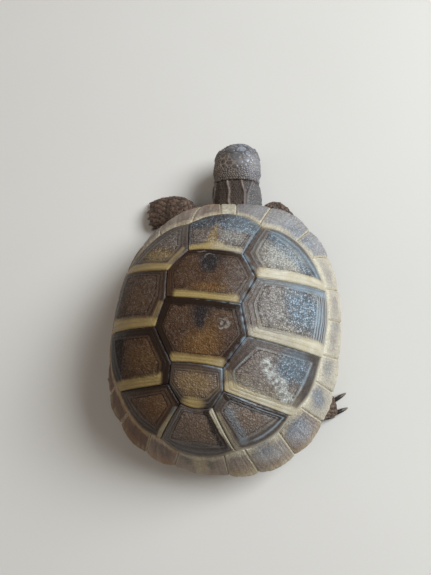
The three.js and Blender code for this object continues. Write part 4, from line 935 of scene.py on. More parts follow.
def build_rim(name, seam_a, seam_b, scallop, seed):
    """A marginal plate: outer face, rounded lip, underside and inner wall, closed at both ends."""
    way = np.sign(seam_b[0] - seam_a[0])
    cut = GAP / HALF_WIDTH / DEG * 0.92 * way
    mid = math.hypot(*[float(v[0]) for v in on_seam(np.array([seam_a[1]]))])
    arc_mm = abs(seam_b[0] - seam_a[0]) * DEG * float(outline(np.array([(seam_a[0] + seam_b[0]) / 2]))[0])
    nu = max(18, int(arc_mm / 0.13)) + 1
    nt = 38
    u = np.linspace(0, 1, nu)
    at_rim = mix(seam_a[0] + cut, seam_b[0] - cut, u)
    at_top = mix(seam_a[1] + cut, seam_b[1] - cut, u)
    stand = scallop * (np.sin(np.pi * mix(0.12, 0.88, u)) - 0.37)
    t = np.linspace(0, 1, nt)
    U, T = np.meshgrid(u, t, indexing="ij")
    A = at_top[:, None] * (1 - T) + at_rim[:, None] * T
    a = A.ravel()
    R, zr = outline(a), rim_height(a)
    c, s = np.cos(a * DEG), np.sin(a * DEG)
    s0 = seam_share(a) + GAP * 0.62 / R
    share = mix(s0, 1, T.ravel())
    r = share * R
    base = on_dome(r * c, r * s, np.zeros_like(r))
    tt, uu = T.ravel(), U.ravel()
    # distances along the face
    b3 = base.reshape(nu, nt, 3)
    dt = np.concatenate([np.zeros((nu, 1)), np.cumsum(np.linalg.norm(np.diff(b3, axis=1), axis=2), 1)], 1)
    along = np.concatenate([np.zeros((1, nt)), np.cumsum(np.linalg.norm(np.diff(b3, axis=0), axis=2), 0)], 0)
    du = np.minimum(along, along[-1:] - along)
    dist = (np.minimum(du, dt)).ravel()
    ring_d = np.minimum(along, dt).ravel()
    phase = ring_d / 0.62 + 0.18 * fbm(base, 2.0, 2, seed)
    f1, f2, ident = cells(base * np.array([1, 1, 1]), 0.48, seed)
    grain = clip((f2 - f1) * 2.2) ** 0.6
    ridge = (np.abs(np.sin(np.pi * phase)) ** 0.55 - 0.75) * (1 - smooth(1.4, 2.4, ring_d))
    lift = (BULGE * 0.5 * np.sin(np.pi * tt) + 0.07 * ridge * smooth(0.1, 0.4, dist) + (0.070 + 0.030 * smooth(1.0, 2.0, ring_d)) * (grain - 0.6) + 0.05 * (ident - 0.5)
            + 0.06 * fbm(base, 2.2, 3, seed + 3) + roll_down(dist, 0.22, 0.36))
    sc = (stand[:, None] + flare(a).reshape(nu, nt)).ravel()
    n = dome_normal(r * c, r * s)
    p = base + n * lift[:, None]
    rr = np.hypot(p[:, 0], p[:, 1]) + sc * tt ** 2
    z = p[:, 2]
    # the free edge is a little uneven
    rr = rr + tt ** 6 * 0.06 * noise(np.stack([a * 0.4, a * 0, a * 0], 1), 0.7, seed + 9)
    rows_r, rows_z, rows_a = [rr.reshape(nu, nt)], [z.reshape(nu, nt)], [A]
    aa = at_rim
    Rr, zz = outline(aa), rim_height(aa)
    al = np.where(((aa + 90) % 360 - 90) > 90, 180 - ((aa + 90) % 360 - 90), (aa + 90) % 360 - 90)
    bridge = smooth(34, 26, al) * smooth(-25, -15, al)
    under, drop = mix(3.6, 2.1, bridge), mix(-0.15, 1.1, bridge)
    sc_end = stand + flare(aa)
    r1, z1 = rows_r[0][:, -1], rows_z[0][:, -1]
    r2, z2 = Rr - 0.35 + sc_end, zz - 0.55
    cr, cz = r1 + 0.06, (z1 + z2) / 2 - 0.12
    for k in (0.2, 0.4, 0.6, 0.8, 1.0):
        rows_r.append(((1 - k) ** 2 * r1 + 2 * k * (1 - k) * cr + k * k * r2)[:, None])
        rows_z.append(((1 - k) ** 2 * z1 + 2 * k * (1 - k) * cz + k * k * z2)[:, None])
        rows_a.append(aa[:, None])
    r3, z3 = Rr - under, zz - drop
    edge_d = np.minimum(along[:, -1], along[-1, -1] - along[:, -1])
    for k in np.linspace(0.1, 1, 10):
        ang = mix(aa, mix(at_top, aa, 0.75), k)
        q = np.stack([ang * 0.4, np.full_like(ang, k * 3), ang * 0], 1)
        rows_r.append(mix(r2, r3, k)[:, None])
        rows_z.append((mix(z2, z3, k) - 0.12 * math.sin(math.pi * k) + 0.03 * noise(q, 0.6, seed + 11)
                       + 0.22 * clip(1 - edge_d / 0.35) ** 1.8)[:, None])
        rows_a.append(ang[:, None])
    r4, z4 = r3 - mix(0.3, 0.75, bridge), z3 + 1.15
    for k in (0.5, 1.0):
        rows_r.append(mix(r3, r4, k)[:, None])
        rows_z.append(mix(z3, z4, k)[:, None])
        rows_a.append(mix(mix(at_top, aa, 0.75), mix(at_top, aa, 0.6), k)[:, None])
    at = at_top
    s0t = seam_share(at) + GAP * 0.62 / outline(at)
    q = on_dome(s0t * outline(at) * np.cos(at * DEG), s0t * outline(at) * np.sin(at * DEG), np.full(nu, -SCUTE))
    for k in (0.5, 1.0):
        rows_r.append(mix(r4, np.hypot(q[:, 0], q[:, 1]), k)[:, None])
        rows_z.append(mix(z4, q[:, 2], k)[:, None])
        rows_a.append(mix(mix(at_top, aa, 0.6), at_top, k)[:, None])
    RR, ZZ, AA = (np.concatenate(v, 1) for v in (rows_r, rows_z, rows_a))
    total = RR.shape[1]
    pts = np.stack([RR * np.cos(AA * DEG), RR * np.sin(AA * DEG), ZZ], -1).reshape(-1, 3)
    quads = grid_faces(nu, total, wrap=True)
    # end caps: a strip between the outer face and the rest of the section
    tris = []
    for row, turn in ((0, 1), (nu - 1, -1)):
        o = row * total
        lo, hi = 0, total - 1
        faces = []
        i, j = nt - 1, nt          # walk from the lip both ways
        a_i, b_i = i, j
        while a_i > 0 or b_i < total - 1:
            ta, tb = a_i / (nt - 1), 1 - (b_i - nt) / (total - 1 - nt)
            if (ta >= tb and a_i > 0) or b_i == total - 1:
                faces.append((o + a_i, o + b_i, o + a_i - 1))
                a_i -= 1
            else:
                faces.append((o + a_i, o + b_i, o + b_i + 1))
                b_i += 1
        f = np.array(faces)
        tris.append(f if turn > 0 else f[:, ::-1])
    tris = np.concatenate(tris)
    top = np.zeros((nu, total), bool)
    top[:, :nt] = True
    info = dict(x=p[:, 0], y=p[:, 1], t=tt, u=uu, du=du.ravel(), dist=dist, p=base, phase=phase, ring_d=ring_d,
                speck=(ident - 0.5) * 0.7, pit=1 - smooth(0.02, 0.20, f2 - f1), crown=smooth(0.16, 0.42, f2 - f1) * (0.35 + 0.65 * smooth(0.2, 0.7, ident)))
    return pts, quads, tris, info, (nu, nt, total)


# ------------------------------------------------------------------ plastron
PLASTRON_FRONT, PLASTRON_REAR, FLOOR_HALF = 26.2, -23.6, 13.2
LOBES = [[26.2, 4.6], [24.6, 6.6], [21, 10.2], [16.5, 13.4], [10, 15.5], [0, 16], [-8, 15.4], [-13, 14.2],
         [-18, 12.4], [-22, 8.6], [-23.6, 6.2]]


def bridge_share(y):
    return smooth(15.2, 11.6, y) * smooth(-11.2, -8.0, y)


def plastron_edge(y):
    lobe = follow(LOBES, y)
    k = clip(np.abs(y) / np.where(y > 0, FRONT, REAR))
    wide = HALF_WIDTH * (1 - k ** OUTLINE_POWER) ** (1 / OUTLINE_POWER) - 2.45
    return mix(lobe, wide, bridge_share(y))


def plastron_height(x, y):
    e, b = plastron_edge(y), bridge_share(y)
    inner = FLOOR_HALF * mix(0.8, 1, b)
    t = clip((np.abs(x) - inner) / np.maximum(0.5, e - inner))
    return mix(0.35, RIM_SIDE - 1.35, b) * t ** mix(2, 1.55, b)


def build_plastron():
    across, along = 172, 250
    v = np.linspace(0, 1, along)
    u = np.linspace(-1, 1, across)
    V, U = np.meshgrid(v, u, indexing="ij")
    y0 = mix(PLASTRON_REAR, PLASTRON_FRONT, V).ravel()
    uu, vv = U.ravel(), V.ravel()
    e = plastron_edge(y0)
    y = y0 + smooth(0.16, 0, vv) * 2.6 * (1 - np.abs(uu)) ** 1.3 - smooth(0.88, 1, vv) * 1.3 * np.abs(uu) ** 2
    x = uu * e
    z = plastron_height(x, y0)
    eps = 0.05
    slope = (z - plastron_height(x - np.sign(uu) * eps, y0)) / eps
    k = np.hypot(1, slope)
    nx, nz = -np.sign(uu) * slope / k, 1 / k
    # the six pairs of plates: distance to the nearest seam, and which plate this is
    ax = np.abs(x)
    cross = [(20.6 - 0.16 * ax, "gular"), (14.2 + 0.10 * ax, "humeral"), (9.0 + 0.02 * ax * ax / 10, "pectoral"),
             (-9.4 - 0.05 * ax, "abdominal"), (-16.8 + 0.12 * ax, "femoral")]
    gular = 20.6 + 0.62 * (ax - 5.0)          # the gular plates are a wedge at the very front
    lines = [np.where(ax < 9, gular, 99.0)] + [c[0] for c in cross[1:]]
    wave = 0.25 * noise(np.stack([x, y], 1), 3.0, 71)
    seam_d = np.abs(x + 0.35 * np.sin(y * 0.45) * smooth(0, 1, 1 - np.abs(y) / 26) + 0.1 * wave)
    for L in lines:
        seam_d = np.minimum(seam_d, np.abs(y - L + wave))
    rank = sum((y < L + 0 * y).astype(float) for L in lines)
    # growth rings parallel to the seams
    q = np.stack([x, y, z], 1)
    phase = seam_d / 0.85 + 0.15 * fbm(q, 2.5, 2, 72)
    ridge = (np.abs(np.sin(np.pi * phase)) ** 0.55 - 0.75) * (1 - smooth(1.9, 3.0, seam_d))
    f1, f2, ident = cells(q, 0.55, 73)
    groove = -0.20 * clip(1 - seam_d / 0.28) ** 1.6
    rel = 0.035 * ridge + groove + 0.012 * (clip((f2 - f1) * 2) - 0.5) + 0.02 * fbm(q, 2.6, 3, 74)
    rel = np.minimum(rel, 0.035) - 0.036       # the resting face is worn flat
    edge_soft = clip(1 - (1 - np.abs(uu)) * e / 0.5)
    depth = -rel + 0.25 * edge_soft ** 2
    down = np.stack([x + nx * depth, y, z + nz * depth], 1)
    up = np.stack([x + nx * SCUTE, y, z + nz * SCUTE], 1)
    n = along * across
    quads = np.concatenate([grid_faces(along, across, flip=True), grid_faces(along, across, offset=n)])
    b1 = np.arange(across)                        # rear edge, then front, left and right walls
    front = (along - 1) * across + b1
    left = np.arange(along) * across
    right = left + across - 1
    walls = []
    for line, flip in ((b1, False), (front, True), (left, True), (right, False)):
        a, b = line[:-1], line[1:]
        w = np.stack([a, b, b + n, a + n], 1)
        walls.append(w[:, ::-1] if flip else w)
    quads = np.concatenate([quads] + walls)
    pts = np.concatenate([down, up])
    fx, fy = np.abs(x), y
    blot = np.zeros_like(x)
    for L0, L1, cx in ((26, 20.6, 2.8), (20.6, 14.2, 5.6), (14.2, 9.0, 7.5), (9.0, -9.4, 8.0), (-9.4, -16.8, 6.5), (-16.8, -23, 4.5)):
        cy = L1 + 0.62 * (L0 - L1)
        blot = np.maximum(blot, blob(fx + 0.8 * noise(q, 2.2, 75), fy + 0.8 * noise(q, 2.2, 76), cx, cy, 0.45 * cx + 1.6, 0.30 * (L0 - L1) + 0.9, 0, 0.5))
    marks = dict(dark=clip(0.72 * blot + 0.35 * clip(1 - seam_d / 0.22)), yellow=np.full_like(x, 0.7) * (1 - 0.8 * blot),
                 ochre=0.25 + 0.2 * fbm(q, 4, 2, 77), pale=0.45 * (1 - smooth(0.1, 0.9, seam_d)) * smooth(0.1, 0.25, seam_d),
                 ink=np.zeros_like(x), mist=np.zeros_like(x), bleach=np.full_like(x, 0.3), grain=np.full_like(x, 0.4),
                 speck=(ident - 0.5) * 0.5, rim=seam_d, pit=1 - smooth(0.02, 0.20, f2 - f1), crown=0.4 * ident)
    return pts, quads, marks, n


# ------------------------------------------------------------------ materials
def srgb(r, g, b):
    """Linear colour from 0..255 display values."""
    f = lambda c: c / 12.92 if c <= 0.04045 else ((c + 0.055) / 1.055) ** 2.4
    return (f(r / 255), f(g / 255), f(b / 255), 1.0)


class Tree:
    """Small helper to write a node material in a few lines."""

    def __init__(self, name):
        self.mat = bpy.data.materials.new(name)
        self.mat.use_nodes = True
        self.nt = self.mat.node_tree
        self.nt.nodes.clear()
        self.out = self.nt.nodes.new("ShaderNodeOutputMaterial")
        self.bsdf = self.nt.nodes.new("ShaderNodeBsdfPrincipled")
        self.nt.links.new(self.bsdf.outputs[0], self.out.inputs[0])
        self.coord = self.nt.nodes.new("ShaderNodeTexCoord").outputs["Object"]

    def link(self, value, socket):
        if hasattr(value, "is_output") or hasattr(value, "links"):
            self.nt.links.new(value, socket)
        else:
            socket.default_value = value

    def node(self, kind, out=0, **inputs):
        n = self.nt.nodes.new(kind)
        for key, value in inputs.items():
            if key.startswith("_"):
                setattr(n, key[1:], value)
        for key, value in inputs.items():
            if not key.startswith("_"):
                sock = n.inputs[int(key[1:])] if key[0] == "i" and key[1:].isdigit() else n.inputs[key]
                self.link(value, sock)
        return n.outputs[out]

    def attr(self, name, colour=False):
        return self.node("ShaderNodeAttribute", out="Color" if colour else "Fac", _attribute_name=name)

    def math(self, op, a, b=0.0, c=0.0, clamp=False):
        return self.node("ShaderNodeMath", _operation=op, _use_clamp=clamp, i0=a, i1=b, i2=c)

    def noise(self, mm, detail=4.0, rough=0.55, distortion=0.0, vector=None):
        return self.node("ShaderNodeTexNoise", out="Fac", Vector=vector or self.coord, Scale=1000.0 / mm, Detail=detail,
                         Roughness=rough, Distortion=distortion)

    def voronoi(self, mm, feature="F1", vector=None, out="Distance", randomness=1.0):
        return self.node("ShaderNodeTexVoronoi", out=out, _feature=feature, Vector=vector or self.coord,
                         Scale=1000.0 / mm, Randomness=randomness)

    def ramp(self, value, lo, hi, a=0.0, b=1.0):
        return self.node("ShaderNodeMapRange", _clamp=True, i0=value, i1=lo, i2=hi, i3=a, i4=b)

    def mix(self, fac, a, b, mode="MIX"):
        n = self.nt.nodes.new("ShaderNodeMix")
        n.data_type = "RGBA"
        n.blend_type = mode
        n.clamp_factor = True
        self.link(fac, n.inputs[0])
        self.link(a, n.inputs[6])
        self.link(b, n.inputs[7])
        return n.outputs[2]

    def bump(self, height, mm, strength=1.0, normal=None):
        n = self.nt.nodes.new("ShaderNodeBump")
        n.inputs["Strength"].default_value = strength
        n.inputs["Distance"].default_value = mm * 0.001
        self.link(height, n.inputs["Height"])
        if normal is not None:
            self.nt.links.new(normal, n.inputs["Normal"])
        return n.outputs[0]

    def done(self, colour, roughness, normal=None, specular=0.5, coat=0.0, coat_rough=0.1, subsurface=0.0, radius=(1, 0.4, 0.2), scale=0.0005):
        b = self.bsdf
        self.link(colour, b.inputs["Base Color"])
        self.link(roughness, b.inputs["Roughness"])
        if normal is not None:
            self.nt.links.new(normal, b.inputs["Normal"])
        self.link(specular, b.inputs["Specular IOR Level"])
        b.inputs["Coat Weight"].default_value = coat
        b.inputs["Coat Roughness"].default_value = coat_rough
        if subsurface:
            b.inputs["Subsurface Weight"].default_value = subsurface
            b.inputs["Subsurface Radius"].default_value = radius
            b.inputs["Subsurface Scale"].default_value = scale
        return self.mat


def horn_material(name, base_a, base_b, bleached, dark, yellow, ochre, pale, ink, mist, specular=0.5, rough=(0.36, 0.58), grain_highlight_colour=srgb(154, 177, 197)):
    """Scute horn: granulated areola, growth-line striations, dark pigment and yellow bands, with painted highlights on
    the grain tops, painted shade between the grains and a painted cool sheen.
    """
    m = Tree(name)
    warp = m.noise(1.4, 4, 0.6)
    fine = m.noise(0.34, 5, 0.62)
    grit = m.noise(0.12, 3, 0.6)
    cell = m.voronoi(0.29)
    edge = m.voronoi(0.29, "DISTANCE_TO_EDGE")
    big = m.noise(4.5, 3, 0.5)
    d = m.attr("rim")
    grain = m.attr("grain")
    wob = m.math("MULTIPLY_ADD", warp, 0.42, d)
    lines = m.math("SINE", m.math("MULTIPLY", wob, 2 * math.pi / 0.235))
    lines_fac = m.ramp(d, 2.6, 1.6)
    bleach = m.attr("bleach")
    # base horn
    c = m.mix(m.ramp(big, 0.35, 0.65), base_a, base_b)
    # greyer, paler horn where the bleach weight is high: bleaching, and painted light on the lit side
    c = m.mix(m.math("MULTIPLY", bleach, 0.95), c, bleached)
    speck = m.attr("speck")
    c = m.mix(m.math("MULTIPLY", m.ramp(fine, 0.45, 0.66), 0.40), c, m.mix(0.45, c, dark))

    def weighted(attribute, spread, noise_):
        w = m.math("ADD", m.attr(attribute), m.math("MULTIPLY", m.math("SUBTRACT", noise_, 0.5), spread))
        return m.ramp(w, 0.08, 0.92)

    c = m.mix(m.math("MULTIPLY", weighted("ochre", 0.4, warp), 0.85), c, ochre)
    c = m.mix(m.math("MULTIPLY", weighted("ink", 0.6, fine), 0.92), c, ink)
    c = m.mix(m.math("MULTIPLY", weighted("dark", 0.5, fine), 0.94), c, dark)
    # pale new horn with a painted cool sheen over it
    c = m.mix(m.math("MULTIPLY", weighted("mist", 0.5, fine), 0.85), c, mist)
    soft = m.math("ADD", m.math("MULTIPLY", warp, 0.6), m.math("MULTIPLY", fine, 0.4))
    tone = m.mix(m.ramp(m.math("ADD", m.math("MULTIPLY", lines, 0.18), soft), 0.35, 0.75), m.mix(0.28, yellow, ochre), yellow)
    c = m.mix(m.math("MULTIPLY", m.ramp(m.math("ADD", m.attr("yellow"), m.math("MULTIPLY", m.math("SUBTRACT", soft, 0.5), 0.25)), 0.05, 0.95), 0.95), c, tone)
    c = m.mix(m.math("MULTIPLY", weighted("pale", 0.45, fine), 0.85), c, pale)
    # painted highlights on the grain tops, stronger on the lit side and over dark pigment; painted shade in the pits
    # and along the edges between the grains
    lit = m.math("MULTIPLY_ADD", m.math("MULTIPLY", m.attr("ink"), m.math("MULTIPLY_ADD", bleach, 1.15, 0.03)), 0.72, m.math("MULTIPLY_ADD", bleach, 0.42, 0.02))
    grain_highlight = m.math("MULTIPLY", m.math("MULTIPLY", m.math("MULTIPLY_ADD", m.ramp(cell, 0.36, 0.12), 0.40, m.math("MULTIPLY", m.attr("crown"), 1.10)), grain), lit)
    c = m.mix(m.math("MULTIPLY", grain_highlight, m.ramp(m.noise(0.8, 2, 0.5), 0.28, 0.55)), c, m.mix(m.attr("ink"), m.mix(0.5, mist, pale), grain_highlight_colour))
    c = m.mix(m.math("MULTIPLY", m.math("MULTIPLY", m.attr("pit"), m.ramp(fine, 0.30, 0.52)), m.math("MULTIPLY", grain, m.math("MULTIPLY_ADD", bleach, 0.35, 0.45))), c, m.mix(m.math("MULTIPLY", m.attr("ink"), 0.85), m.mix(0.25, dark, base_a), srgb(24, 31, 38)))
    c = m.mix(m.math("MULTIPLY", m.ramp(edge, 0.09, 0.0), m.math("MULTIPLY", grain, 0.40)), c, m.mix(0.2, dark, base_a))
    # pale specks brighten toward the lit side as painted highlights; the dark specks below are random tone
    c = m.mix(m.math("MULTIPLY", m.ramp(speck, 0.15, 0.5), m.math("MULTIPLY_ADD", bleach, 0.30, 0.07)), c, m.mix(0.5, base_b, pale))
    c = m.mix(m.math("MULTIPLY", m.ramp(speck, -0.15, -0.5), 0.45), c, m.mix(0.2, dark, base_a))
    # fine growth lines
    c = m.mix(m.math("MULTIPLY", m.math("MULTIPLY", m.ramp(lines, 0.2, 1.0), lines_fac), 0.22), c, m.mix(0.4, dark, base_a))
    h = m.math("ADD", m.math("MULTIPLY", m.ramp(edge, 0.0, 0.22), grain),
               m.math("MULTIPLY", m.math("MULTIPLY", lines, 0.26), lines_fac))
    n1 = m.bump(h, 0.045, 1.0)
    n2 = m.bump(m.math("ADD", fine, m.math("MULTIPLY", grit, 0.5)), 0.03, 0.8, n1)
    r = m.ramp(m.math("ADD", fine, m.math("MULTIPLY", grain, 0.12)), 0.35, 0.8, rough[0], rough[1])
    return m.done(c, r, n2, specular=m.ramp(bleach, 0.0, 0.55, specular * 0.30, specular * 1.12))


horn_back = horn_material("horn_back", srgb(76, 53, 38), srgb(92, 68, 49), srgb(142, 134, 128), srgb(32, 22, 17), srgb(168, 148, 98),
                          srgb(120, 86, 46), srgb(208, 210, 202), srgb(44, 54, 62), srgb(137, 152, 163), specular=0.32, rough=(0.30, 0.50))
horn_rim = horn_material("horn_rim", srgb(104, 78, 62), srgb(128, 102, 84), srgb(148, 142, 140), srgb(44, 32, 27), srgb(190, 170, 122),
                         srgb(146, 106, 74), srgb(216, 210, 190), srgb(72, 76, 84), srgb(156, 158, 164), specular=0.34, rough=(0.32, 0.52))
horn_under = horn_material("horn_under", srgb(172, 148, 98), srgb(190, 168, 112), srgb(186, 168, 124), srgb(34, 27, 22), srgb(204, 180, 116),
                           srgb(170, 128, 70), srgb(214, 200, 160), srgb(60, 60, 60), srgb(150, 150, 150), rough=(0.42, 0.6))

# ------------------------------------------------------------------ camera, floor and light
cam_data = bpy.data.cameras.new("camera")
cam = bpy.data.objects.new("camera", cam_data)
bpy.context.scene.collection.objects.link(cam)
cam_data.sensor_fit = "VERTICAL"
cam_data.sensor_height = 36.0
cam_data.lens = 560.0 / 575.0 * 36.0
cam_data.clip_start = 0.01
cam_data.clip_end = 10.0
_R = np.array([[0.97299998, 0.12549509, -0.19370603], [-0.08505909, 0.97516116, 0.20451321],
               [0.21456, -0.18251489, 0.95950629]])
_R = _R @ np.diag([-1, -1, 1])
m4 = Matrix.Identity(4)
for a_ in range(3):
    for b_ in range(3):
        m4[a_][b_] = float(_R[b_][a_])
m4.translation = Vector((-0.02326825, 0.01120870, 0.12297714))
cam.matrix_world = m4
bpy.context.scene.camera = cam

floor_mesh = bpy.data.meshes.new("floor")
s_ = 1.2
floor_mesh.from_pydata([(-s_, -s_, 0), (s_, -s_, 0), (s_, s_, 0), (-s_, s_, 0)], [], [(0, 1, 2, 3)])
floor = bpy.data.objects.new("floor", floor_mesh)
bpy.context.scene.collection.objects.link(floor)
fm = Tree("floor_paper")
floor_mesh.materials.append(fm.done(fm.mix(fm.noise(60, 3), srgb(206, 202, 196), srgb(212, 209, 204)), 0.85, specular=0.2))


def softbox(name, where, target, size, watts, colour):
    data = bpy.data.lights.new(name, "AREA")
    data.shape = "RECTANGLE"
    data.size, data.size_y = size
    data.energy = watts
    data.color = colour
    ob = bpy.data.objects.new(name, data)
    ob.location = where
    ob.rotation_euler = (Vector(target) - Vector(where)).to_track_quat("-Z", "Y").to_euler()
    bpy.context.scene.collection.objects.link(ob)
    return ob


softbox("key", (-0.36, -0.20, 0.34), (0, 0, 0.015), (0.30, 0.26), 4.2, (0.90, 0.96, 1.0))
softbox("top", (0.02, 0.10, 0.60), (0, 0, 0.015), (0.50, 0.50), 0.32, (1.0, 0.98, 0.95))
softbox("fill", (0.45, 0.10, 0.22), (0, 0, 0.015), (0.40, 0.40), 0.42, (1.0, 0.82, 0.66))
world = bpy.data.worlds.new("studio")
world.use_nodes = True
world.node_tree.nodes["Background"].inputs[0].default_value = (0.88, 0.82, 0.76, 1)
world.node_tree.nodes["Background"].inputs[1].default_value = 0.16
bpy.context.scene.world = world
bpy.context.scene.view_settings.view_transform = "Standard"


# ------------------------------------------------------------------ the shell
PLATE_RINGS = {"vertebral_1": 3.0, "vertebral_2": 3.0, "vertebral_3": 3.0, "vertebral_4": 3.0, "vertebral_5": 3.0,
               "costal_right_1": 3.0, "costal_right_2": 3.0, "costal_right_3": 3.0, "costal_right_4": 3.0,
               "costal_left_1": 3.0, "costal_left_2": 3.0, "costal_left_3": 3.0, "costal_left_4": 3.0}
for number, (name, (sides, core)) in enumerate(plate_specs().items()):
    pts, quads, tris, info = build_plate(name, sides, core, rings=PLATE_RINGS[name], seed=100 + 13 * number)
    info["rings"] = PLATE_RINGS[name]
    marks = padded_attributes(plate_marks(name, info), info["low"])
    ob = make_mesh("horn_" + name, pts, quads, tris, marks, material=horn_back)
    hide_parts(name)

for name, (seam_a, seam_b, number) in rim_seams().items():
    seed = 400 + 7 * number + (3 if "left" in name else 0)
    pts, quads, tris, info, (nu, nt, total) = build_rim(name, seam_a, seam_b, SCALLOP[number], seed)
    marks = rim_marks(name, info)
    full = {}
    for key, value in marks.items():
        g = np.empty((nu, total))
        g[:, :nt] = value.reshape(nu, nt)
        last = g[:, nt - 1:nt]
        g[:, nt:] = last * (0.5 if key in ("ink", "mist", "speck") else 1.0)
        full[key] = g.ravel()
    ob = make_mesh("horn_" + name, pts, quads, tris, full, material=horn_rim)
    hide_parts(name)

pts, quads, marks, low = build_plastron()
marks = {k: np.concatenate([v, v]) for k, v in marks.items()}
ob = make_mesh("horn_plastron", pts, quads, None, marks, material=horn_under)
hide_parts("plastron")


# ------------------------------------------------------------------ tubes of skin
class Tube:
    """A surface of rows of points round an axis. Places on it are (u, turn): mm along, share of a turn."""

    def __init__(self, P, chart):
        self.P = P
        self.rows, self.cols = P.shape[:2]
        centre = P.mean(1)
        self.refresh()
        step = np.linalg.norm(np.diff(P, axis=0), axis=2).mean(1)
        self.U = np.concatenate([[0], np.cumsum(step)])
        self.C = np.linalg.norm(P - np.roll(P, -1, 1), axis=2).sum(1)
        self.R = float(np.median(self.C)) / (2 * math.pi)
        self.chart = chart

    def refresh(self):
        P = self.P
        a = np.roll(P, -1, 1) - np.roll(P, 1, 1)
        b = np.gradient(P, axis=0)
        N = np.cross(a, b)
        N /= np.maximum(np.linalg.norm(N, axis=2, keepdims=True), 1e-9)
        out = P - P.mean(1, keepdims=True)
        sign = np.sign((N * out).sum(2)[self.rows // 4: self.rows // 2].mean())
        self.N = N * (sign if sign != 0 else 1)

    def at(self, u, turn):
        i = np.interp(u, self.U, np.arange(self.rows))
        i0 = np.clip(np.floor(i).astype(int), 0, self.rows - 2)
        f = (i - i0)[..., None]
        j = (np.asarray(turn) % 1.0) * self.cols
        j0 = np.floor(j).astype(int) % self.cols
        j1 = (j0 + 1) % self.cols
        g = (j - np.floor(j))[..., None]
        pick = lambda A: ((A[i0, j0] * (1 - f) + A[i0 + 1, j0] * f) * (1 - g)
                          + (A[i0, j1] * (1 - f) + A[i0 + 1, j1] * f) * g)
        n = pick(self.N)
        return pick(self.P), n / np.maximum(np.linalg.norm(n, axis=-1, keepdims=True), 1e-9)

    def girth(self, u):
        return np.interp(u, self.U, self.C)

    def uv(self, u, turn):
        x0, y0, kx, ky = self.chart
        return np.stack([x0 + np.asarray(u) * kx, y0 + np.asarray(turn) * 2 * math.pi * self.R * ky], -1)

    def mesh(self):
        """Closed mesh: points, quads, tris, and the (u, turn) of every point."""
        r, c = self.rows, self.cols
        pts = self.P.reshape(-1, 3)
        quads = grid_faces(r, c, wrap=True)
        tips = np.stack([self.P[0].mean(0), self.P[-1].mean(0)])
        j = np.arange(c)
        n = r * c
        t0 = np.stack([(j + 1) % c, j, np.full(c, n)], 1)
        t1 = np.stack([(r - 1) * c + j, (r - 1) * c + (j + 1) % c, np.full(c, n + 1)], 1)
        U = np.concatenate([np.repeat(self.U, c), [0, self.U[-1]]])
        T = np.concatenate([np.tile(j / c, r), [0, 0]])
        return np.concatenate([pts, tips]), quads, np.concatenate([t0, t1]), U, T


def catmull(points, t):
    """Centripetal curve through points; t runs 0..1 over equal shares per segment."""
    P = np.array(points, float)
    n = len(P)
    p = t * (n - 1)
    i = np.clip(np.floor(p).astype(int), 0, n - 2)
    w = p - i
    first, last = 2 * P[0] - P[1], 2 * P[-1] - P[-2]
    E = np.concatenate([[first], P, [last]])
    p0, p1, p2, p3 = E[i], E[i + 1], E[i + 2], E[i + 3]
    d0 = ((p0 - p1) ** 2).sum(-1) ** 0.25
    d1 = ((p1 - p2) ** 2).sum(-1) ** 0.25
    d2 = ((p2 - p3) ** 2).sum(-1) ** 0.25
    d0, d1, d2 = d0[:, None], d1[:, None], d2[:, None]
    t1 = ((p1 - p0) / d0 - (p2 - p0) / (d0 + d1) + (p2 - p1) / d1) * d1
    t2 = ((p2 - p1) / d1 - (p3 - p1) / (d1 + d2) + (p3 - p2) / d2) * d1
    w = w[:, None]
    c2 = -3 * p1 + 3 * p2 - 2 * t1 - t2
    c3 = 2 * p1 - 2 * p2 + t1 + t2
    return p1 + t1 * w + c2 * w * w + c3 * w ** 3


def station_size(stations, t, k):
    S = np.array(stations, float)
    u = t * (len(S) - 1)
    i = np.minimum(len(S) - 2, np.floor(u).astype(int))
    return mix(S[i, k], S[i + 1, k], smooth(0, 1, u - i))


def limb_rows(stations, cols, spacing=0.175, squareness=2.3, tip=0.55, inset=0.12):
    S = np.array(stations, float)
    coarse = catmull(S[:, :3], np.linspace(0, 1, 200))
    length = np.linalg.norm(np.diff(coarse, axis=0), axis=1).sum()
    n = int(length / spacing)
    t = np.concatenate([np.linspace(0, 1, n), np.ones(12)])
    q = np.concatenate([np.zeros(n), np.linspace(0, 1, 13)[1:] ** 0.8])
    reach = tip * 1.5 - inset
    push = q * reach
    scale = np.sqrt(np.maximum(0.0, 1 - (q * 0.985) ** 2.4))
    p = catmull(S[:, :3], t)
    e = 1e-3
    d = catmull(S[:, :3], np.clip(t + e, 0, 1)) - catmull(S[:, :3], np.clip(t - e, 0, 1))
    d /= np.linalg.norm(d, axis=1, keepdims=True)
    side = np.stack([d[:, 1], -d[:, 0], np.zeros(len(d))], 1)
    side /= np.linalg.norm(side, axis=1, keepdims=True)
    up = np.cross(side, d)
    up *= np.where(up[:, 2] < 0, -1, 1)[:, None]
    a = 2 * math.pi * np.arange(cols) / cols
    c, s = np.cos(a), np.sin(a)
    k = (np.abs(c) ** squareness + np.abs(s) ** squareness) ** (-1 / squareness)
    w = (station_size(S, t, 3) - inset) * scale
    h = (station_size(S, t, 4) - inset) * scale
    P = (p[:, None] + side[:, None] * (c * k)[None, :, None] * w[:, None, None]
         + up[:, None] * (s * k)[None, :, None] * h[:, None, None] + d[:, None] * push[:, None, None])
    return P, dict(t=t, q=q, c=c, s=s)


